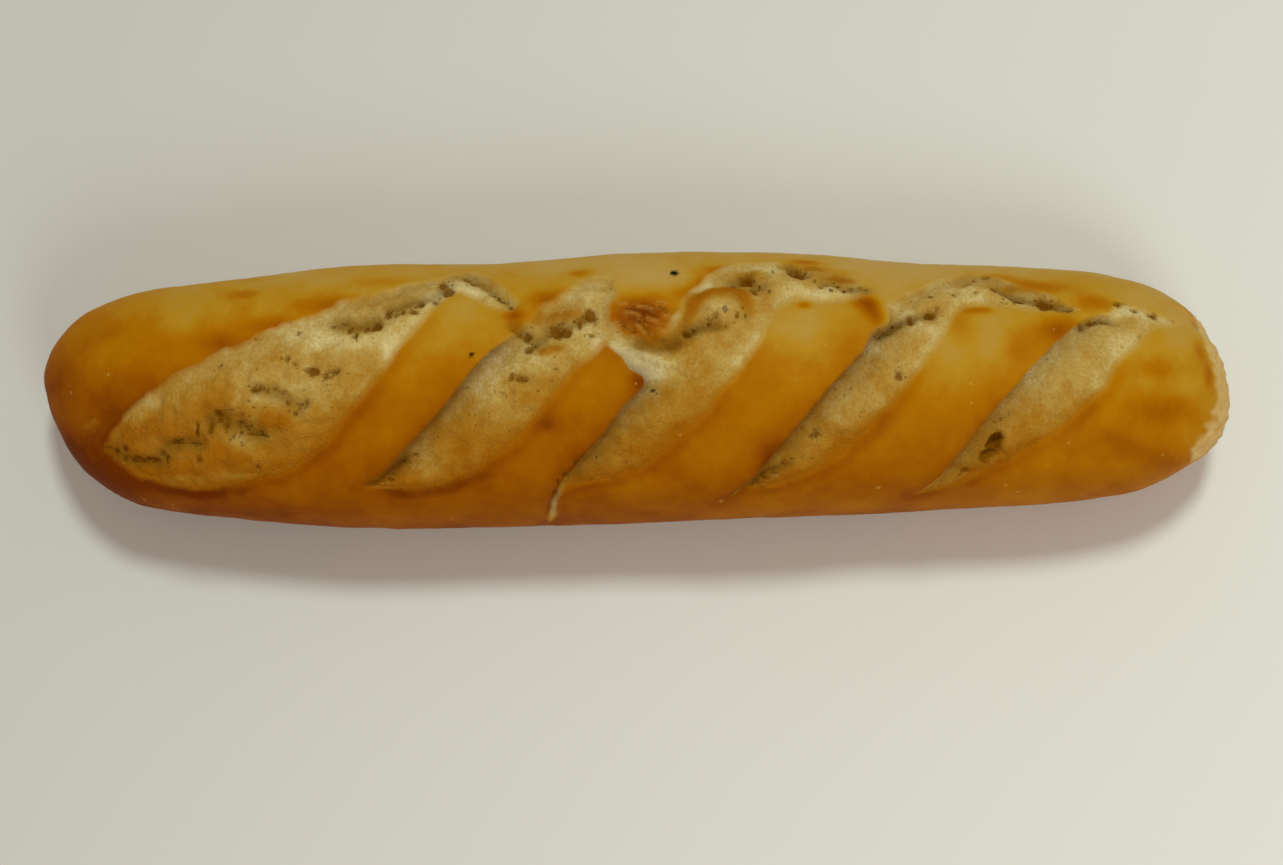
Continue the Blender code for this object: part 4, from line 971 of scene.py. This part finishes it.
# The last crumb colour is painted shade, for pores, folds and crevices
CRUMB_HEX = ("#E8D694", "#CAA856", "#B88426", "#AC6A0C", "#75500E")


def colour_property(name, description, code):
    """A colour setting that starts from an sRGB hex code."""
    return FloatVectorProperty(name=name, description=description, subtype="COLOR", size=3, min=0, max=1,
                               default=linear(code))


class BAGUETTE_PG_crust(bpy.types.PropertyGroup):
    """How the crust is raised and browned"""
    ear_rise: FloatProperty(name="Ear Rise", description="Height of the ears, as a share of the usual height",
                            default=1.0, min=0.0, max=2.0, subtype="FACTOR")
    overhang: FloatProperty(name="Overhang", description="How far the ears reach over the crumb",
                            default=1.0, min=0.0, max=1.5, subtype="FACTOR")
    pale: colour_property("Pale Crust", "Crust that has hardly browned", CRUST_HEX[0])
    straw: colour_property("Straw Crust", "Crust at the back of the loaf", CRUST_HEX[1])
    golden: colour_property("Golden Crust", "Crust on the crown", CRUST_HEX[2])
    amber: colour_property("Amber Crust", "Crust in the middle of the straps", CRUST_HEX[3])
    copper: colour_property("Copper Crust", "Crust at the front", CRUST_HEX[4])
    chestnut: colour_property("Chestnut Crust", "Crust at the left tip and low on the sides", CRUST_HEX[5])
    dark: colour_property("Dark Crust", "The darkest crust", CRUST_HEX[6])


class BAGUETTE_PG_crumb(bpy.types.PropertyGroup):
    """Colours of the torn crumb"""
    cream: colour_property("Cream Crumb", "The palest crumb", CRUMB_HEX[0])
    wheat: colour_property("Wheat Crumb", "Most of the crumb", CRUMB_HEX[1])
    honey: colour_property("Honey Crumb", "Crumb beside the flush edges", CRUMB_HEX[2])
    toasted: colour_property("Toasted Crumb", "Crumb that the oven reached first", CRUMB_HEX[3])
    # Painted shade: the colour that pores, folds and crevices in the crumb are darkened towards
    painted_hollow_shade: colour_property("Hollow Shade", "Inside of holes and folds", CRUMB_HEX[4])


class BAGUETTE_PG_stage(bpy.types.PropertyGroup):
    """The floor and the light"""
    floor: colour_property("Floor", "Plain pale floor", "#ECECE2")
    key_power: FloatProperty(name="Key Light", description="Power of the soft light behind the loaf",
                             default=9.5, min=0.0, unit="POWER")
    fill: FloatProperty(name="Fill Light", description="Strength of the light from all round", default=0.32,
                        min=0.0)
    floor_size: FloatProperty(name="Floor Size", description="Width of the floor", default=6.0, min=1.0,
                              unit="LENGTH")


class BAGUETTE_OT_loaf(bpy.types.Operator):
    """Build the loaf's skin with its openings, ears, crumb and browning"""
    bl_idname = "baguette.loaf"
    bl_label = "Build Loaf"

    def execute(self, context):
        crust, crumb = context.scene.baguette_crust, context.scene.baguette_crumb
        points, faces, looks = loaf_surface(crust.overhang, crust.ear_rise)
        piece = surface_object(PIECE, points, faces, looks)
        crust_colours = [tuple(getattr(crust, key)) for key in
                         ("pale", "straw", "golden", "amber", "copper", "chestnut", "dark")]
        crumb_colours = [tuple(getattr(crumb, key)) for key in
                         ("cream", "wheat", "honey", "toasted", "painted_hollow_shade")]
        piece.data.materials.append(bread_material(crust_colours, crumb_colours))
        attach(piece, "root")
        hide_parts("baguette")
        return {"FINISHED"}


class BAGUETTE_OT_stage(bpy.types.Operator):
    """Set the floor, the lights and the camera"""
    bl_idname = "baguette.stage"
    bl_label = "Set Stage"

    def execute(self, context):
        stage = context.scene.baguette_stage
        half = stage.floor_size / 2
        corners = np.array([(-half, -half, 0), (half, -half, 0), (half, half, 0), (-half, half, 0)])
        floor = surface_object("floor", corners, [(0, 1, 2, 3)], {})
        floor.data.materials.append(floor_material(tuple(stage.floor)))
        for name, (place, aim, size, tint, share) in LIGHTS.items():
            add_light(name, place, aim, size, stage.key_power * share, tint)
        set_world(context.scene, stage.fill)
        context.scene.camera = photo_camera()
        context.scene.view_settings.view_transform = "Standard"
        return {"FINISHED"}


def floor_material(colour):
    """Matt laminate: plain and pale, with faint clouds in its colour, and painted light that makes it paler
    to the right and the front.
    """
    material = bpy.data.materials.new("matt_laminate_with_painted_light")
    material.use_nodes = True
    tree = material.node_tree
    tree.nodes.clear()
    place = add_node(tree, "TexCoord", {}).outputs["Object"]
    # Painted light: the colour grows paler towards the right and the front
    across = add_node(tree, "VectorMath", {0: place, 1: (1.2, -0.8, 0)},
                      operation="DOT_PRODUCT").outputs["Value"]
    clouds_and_painted_light = add_node(tree, "TexNoise", {"Vector": place, "Scale": 4.0, "Detail": 2.0}).outputs["Fac"]
    clouds_and_painted_light = add_node(tree, "Math", {0: clouds_and_painted_light, 1: 0.1, 2: across}, operation="MULTIPLY_ADD").outputs[0]
    shifted = add_node(tree, "Math", {0: clouds_and_painted_light, 1: 0.35}, operation="ADD").outputs[0]
    ramp = add_node(tree, "ValToRGB", {"Fac": shifted})
    set_ramp(ramp, [(0.2, tuple(0.84 * c for c in colour)), (0.8, tuple(1.2 * c for c in colour))])
    shader = add_node(tree, "BsdfPrincipled", {
        "Base Color": ramp.outputs["Color"], "Roughness": 0.6, "Specular IOR Level": 0.2})
    add_node(tree, "OutputMaterial", {"Surface": shader.outputs[0]})
    return material


def add_light(name, place, aim, size, power, tint):
    """A round soft light at a place, turned to its aim."""
    light = bpy.data.lights.new(name, "AREA")
    light.shape = "DISK"
    light.size = size
    light.energy = power
    light.color = linear(tint)
    lamp = bpy.data.objects.new(name, light)
    lamp.location = place
    lamp.rotation_euler = (Vector(place) - Vector(aim)).to_track_quat("Z", "Y").to_euler()
    bpy.context.scene.collection.objects.link(lamp)
    return lamp


def set_world(scene, strength):
    """An even surround, a little warm, as a room is."""
    world = bpy.data.worlds.new("studio")
    world.use_nodes = True
    background = world.node_tree.nodes["Background"]
    background.inputs["Color"].default_value = (*linear("#FFDFD3"), 1)
    background.inputs["Strength"].default_value = strength
    scene.world = world


def photo_camera():
    """The camera at the photo's viewing angle, turned so that the loaf sits where it does in the photo."""
    angle = math.radians(CAMERA_ELEVATION)
    back = Vector((0, -math.cos(angle), math.sin(angle)))
    right = Vector((1, 0, 0))
    up = back.cross(right)
    aim = Vector((0, 0, CAMERA_AIM_HEIGHT))
    place = aim + back * CAMERA_DISTANCE
    forward = -back * CAMERA_FOCAL_PX + right * PHOTO_OFFSET_PX[0] + up * PHOTO_OFFSET_PX[1]
    data = bpy.data.cameras.new("photo_camera")
    data.sensor_width = SENSOR_MM
    data.lens = SENSOR_MM * CAMERA_FOCAL_PX / PHOTO_SIZE[0]
    data.clip_start = 0.01
    data.clip_end = 20
    camera = bpy.data.objects.new("photo_camera", data)
    camera.location = place * MM
    roll = Quaternion((0, 0, 1), math.radians(CAMERA_ROLL))
    camera.rotation_euler = (forward.to_track_quat("-Z", "Y") @ roll).to_euler()
    bpy.context.scene.collection.objects.link(camera)
    return camera


class BAGUETTE_PT_panel(bpy.types.Panel):
    """Sizes, colours and the steps that build the baguette"""
    bl_idname = "BAGUETTE_PT_panel"
    bl_label = "Baguette"
    bl_space_type = "VIEW_3D"
    bl_region_type = "UI"
    bl_category = "Baguette"

    def draw(self, context):
        layout = self.layout
        for name in ("baguette_crust", "baguette_crumb", "baguette_stage"):
            group = getattr(context.scene, name)
            box = layout.box()
            for key in group.__annotations__:
                box.prop(group, key)
        layout.operator("baguette.loaf")
        layout.operator("baguette.stage")


GROUPS = {
    "baguette_crust": BAGUETTE_PG_crust,
    "baguette_crumb": BAGUETTE_PG_crumb,
    "baguette_stage": BAGUETTE_PG_stage,
}
CLASSES = (*GROUPS.values(), BAGUETTE_OT_loaf, BAGUETTE_OT_stage, BAGUETTE_PT_panel)


def register():
    for made in CLASSES:
        bpy.utils.register_class(made)
    for name, group in GROUPS.items():
        setattr(bpy.types.Scene, name, PointerProperty(type=group))


def unregister():
    for name in GROUPS:
        delattr(bpy.types.Scene, name)
    for made in reversed(CLASSES):
        bpy.utils.unregister_class(made)


def main():
    register()
    bpy.ops.baguette.loaf()
    bpy.ops.baguette.stage()


if __name__ == "__main__":
    main()
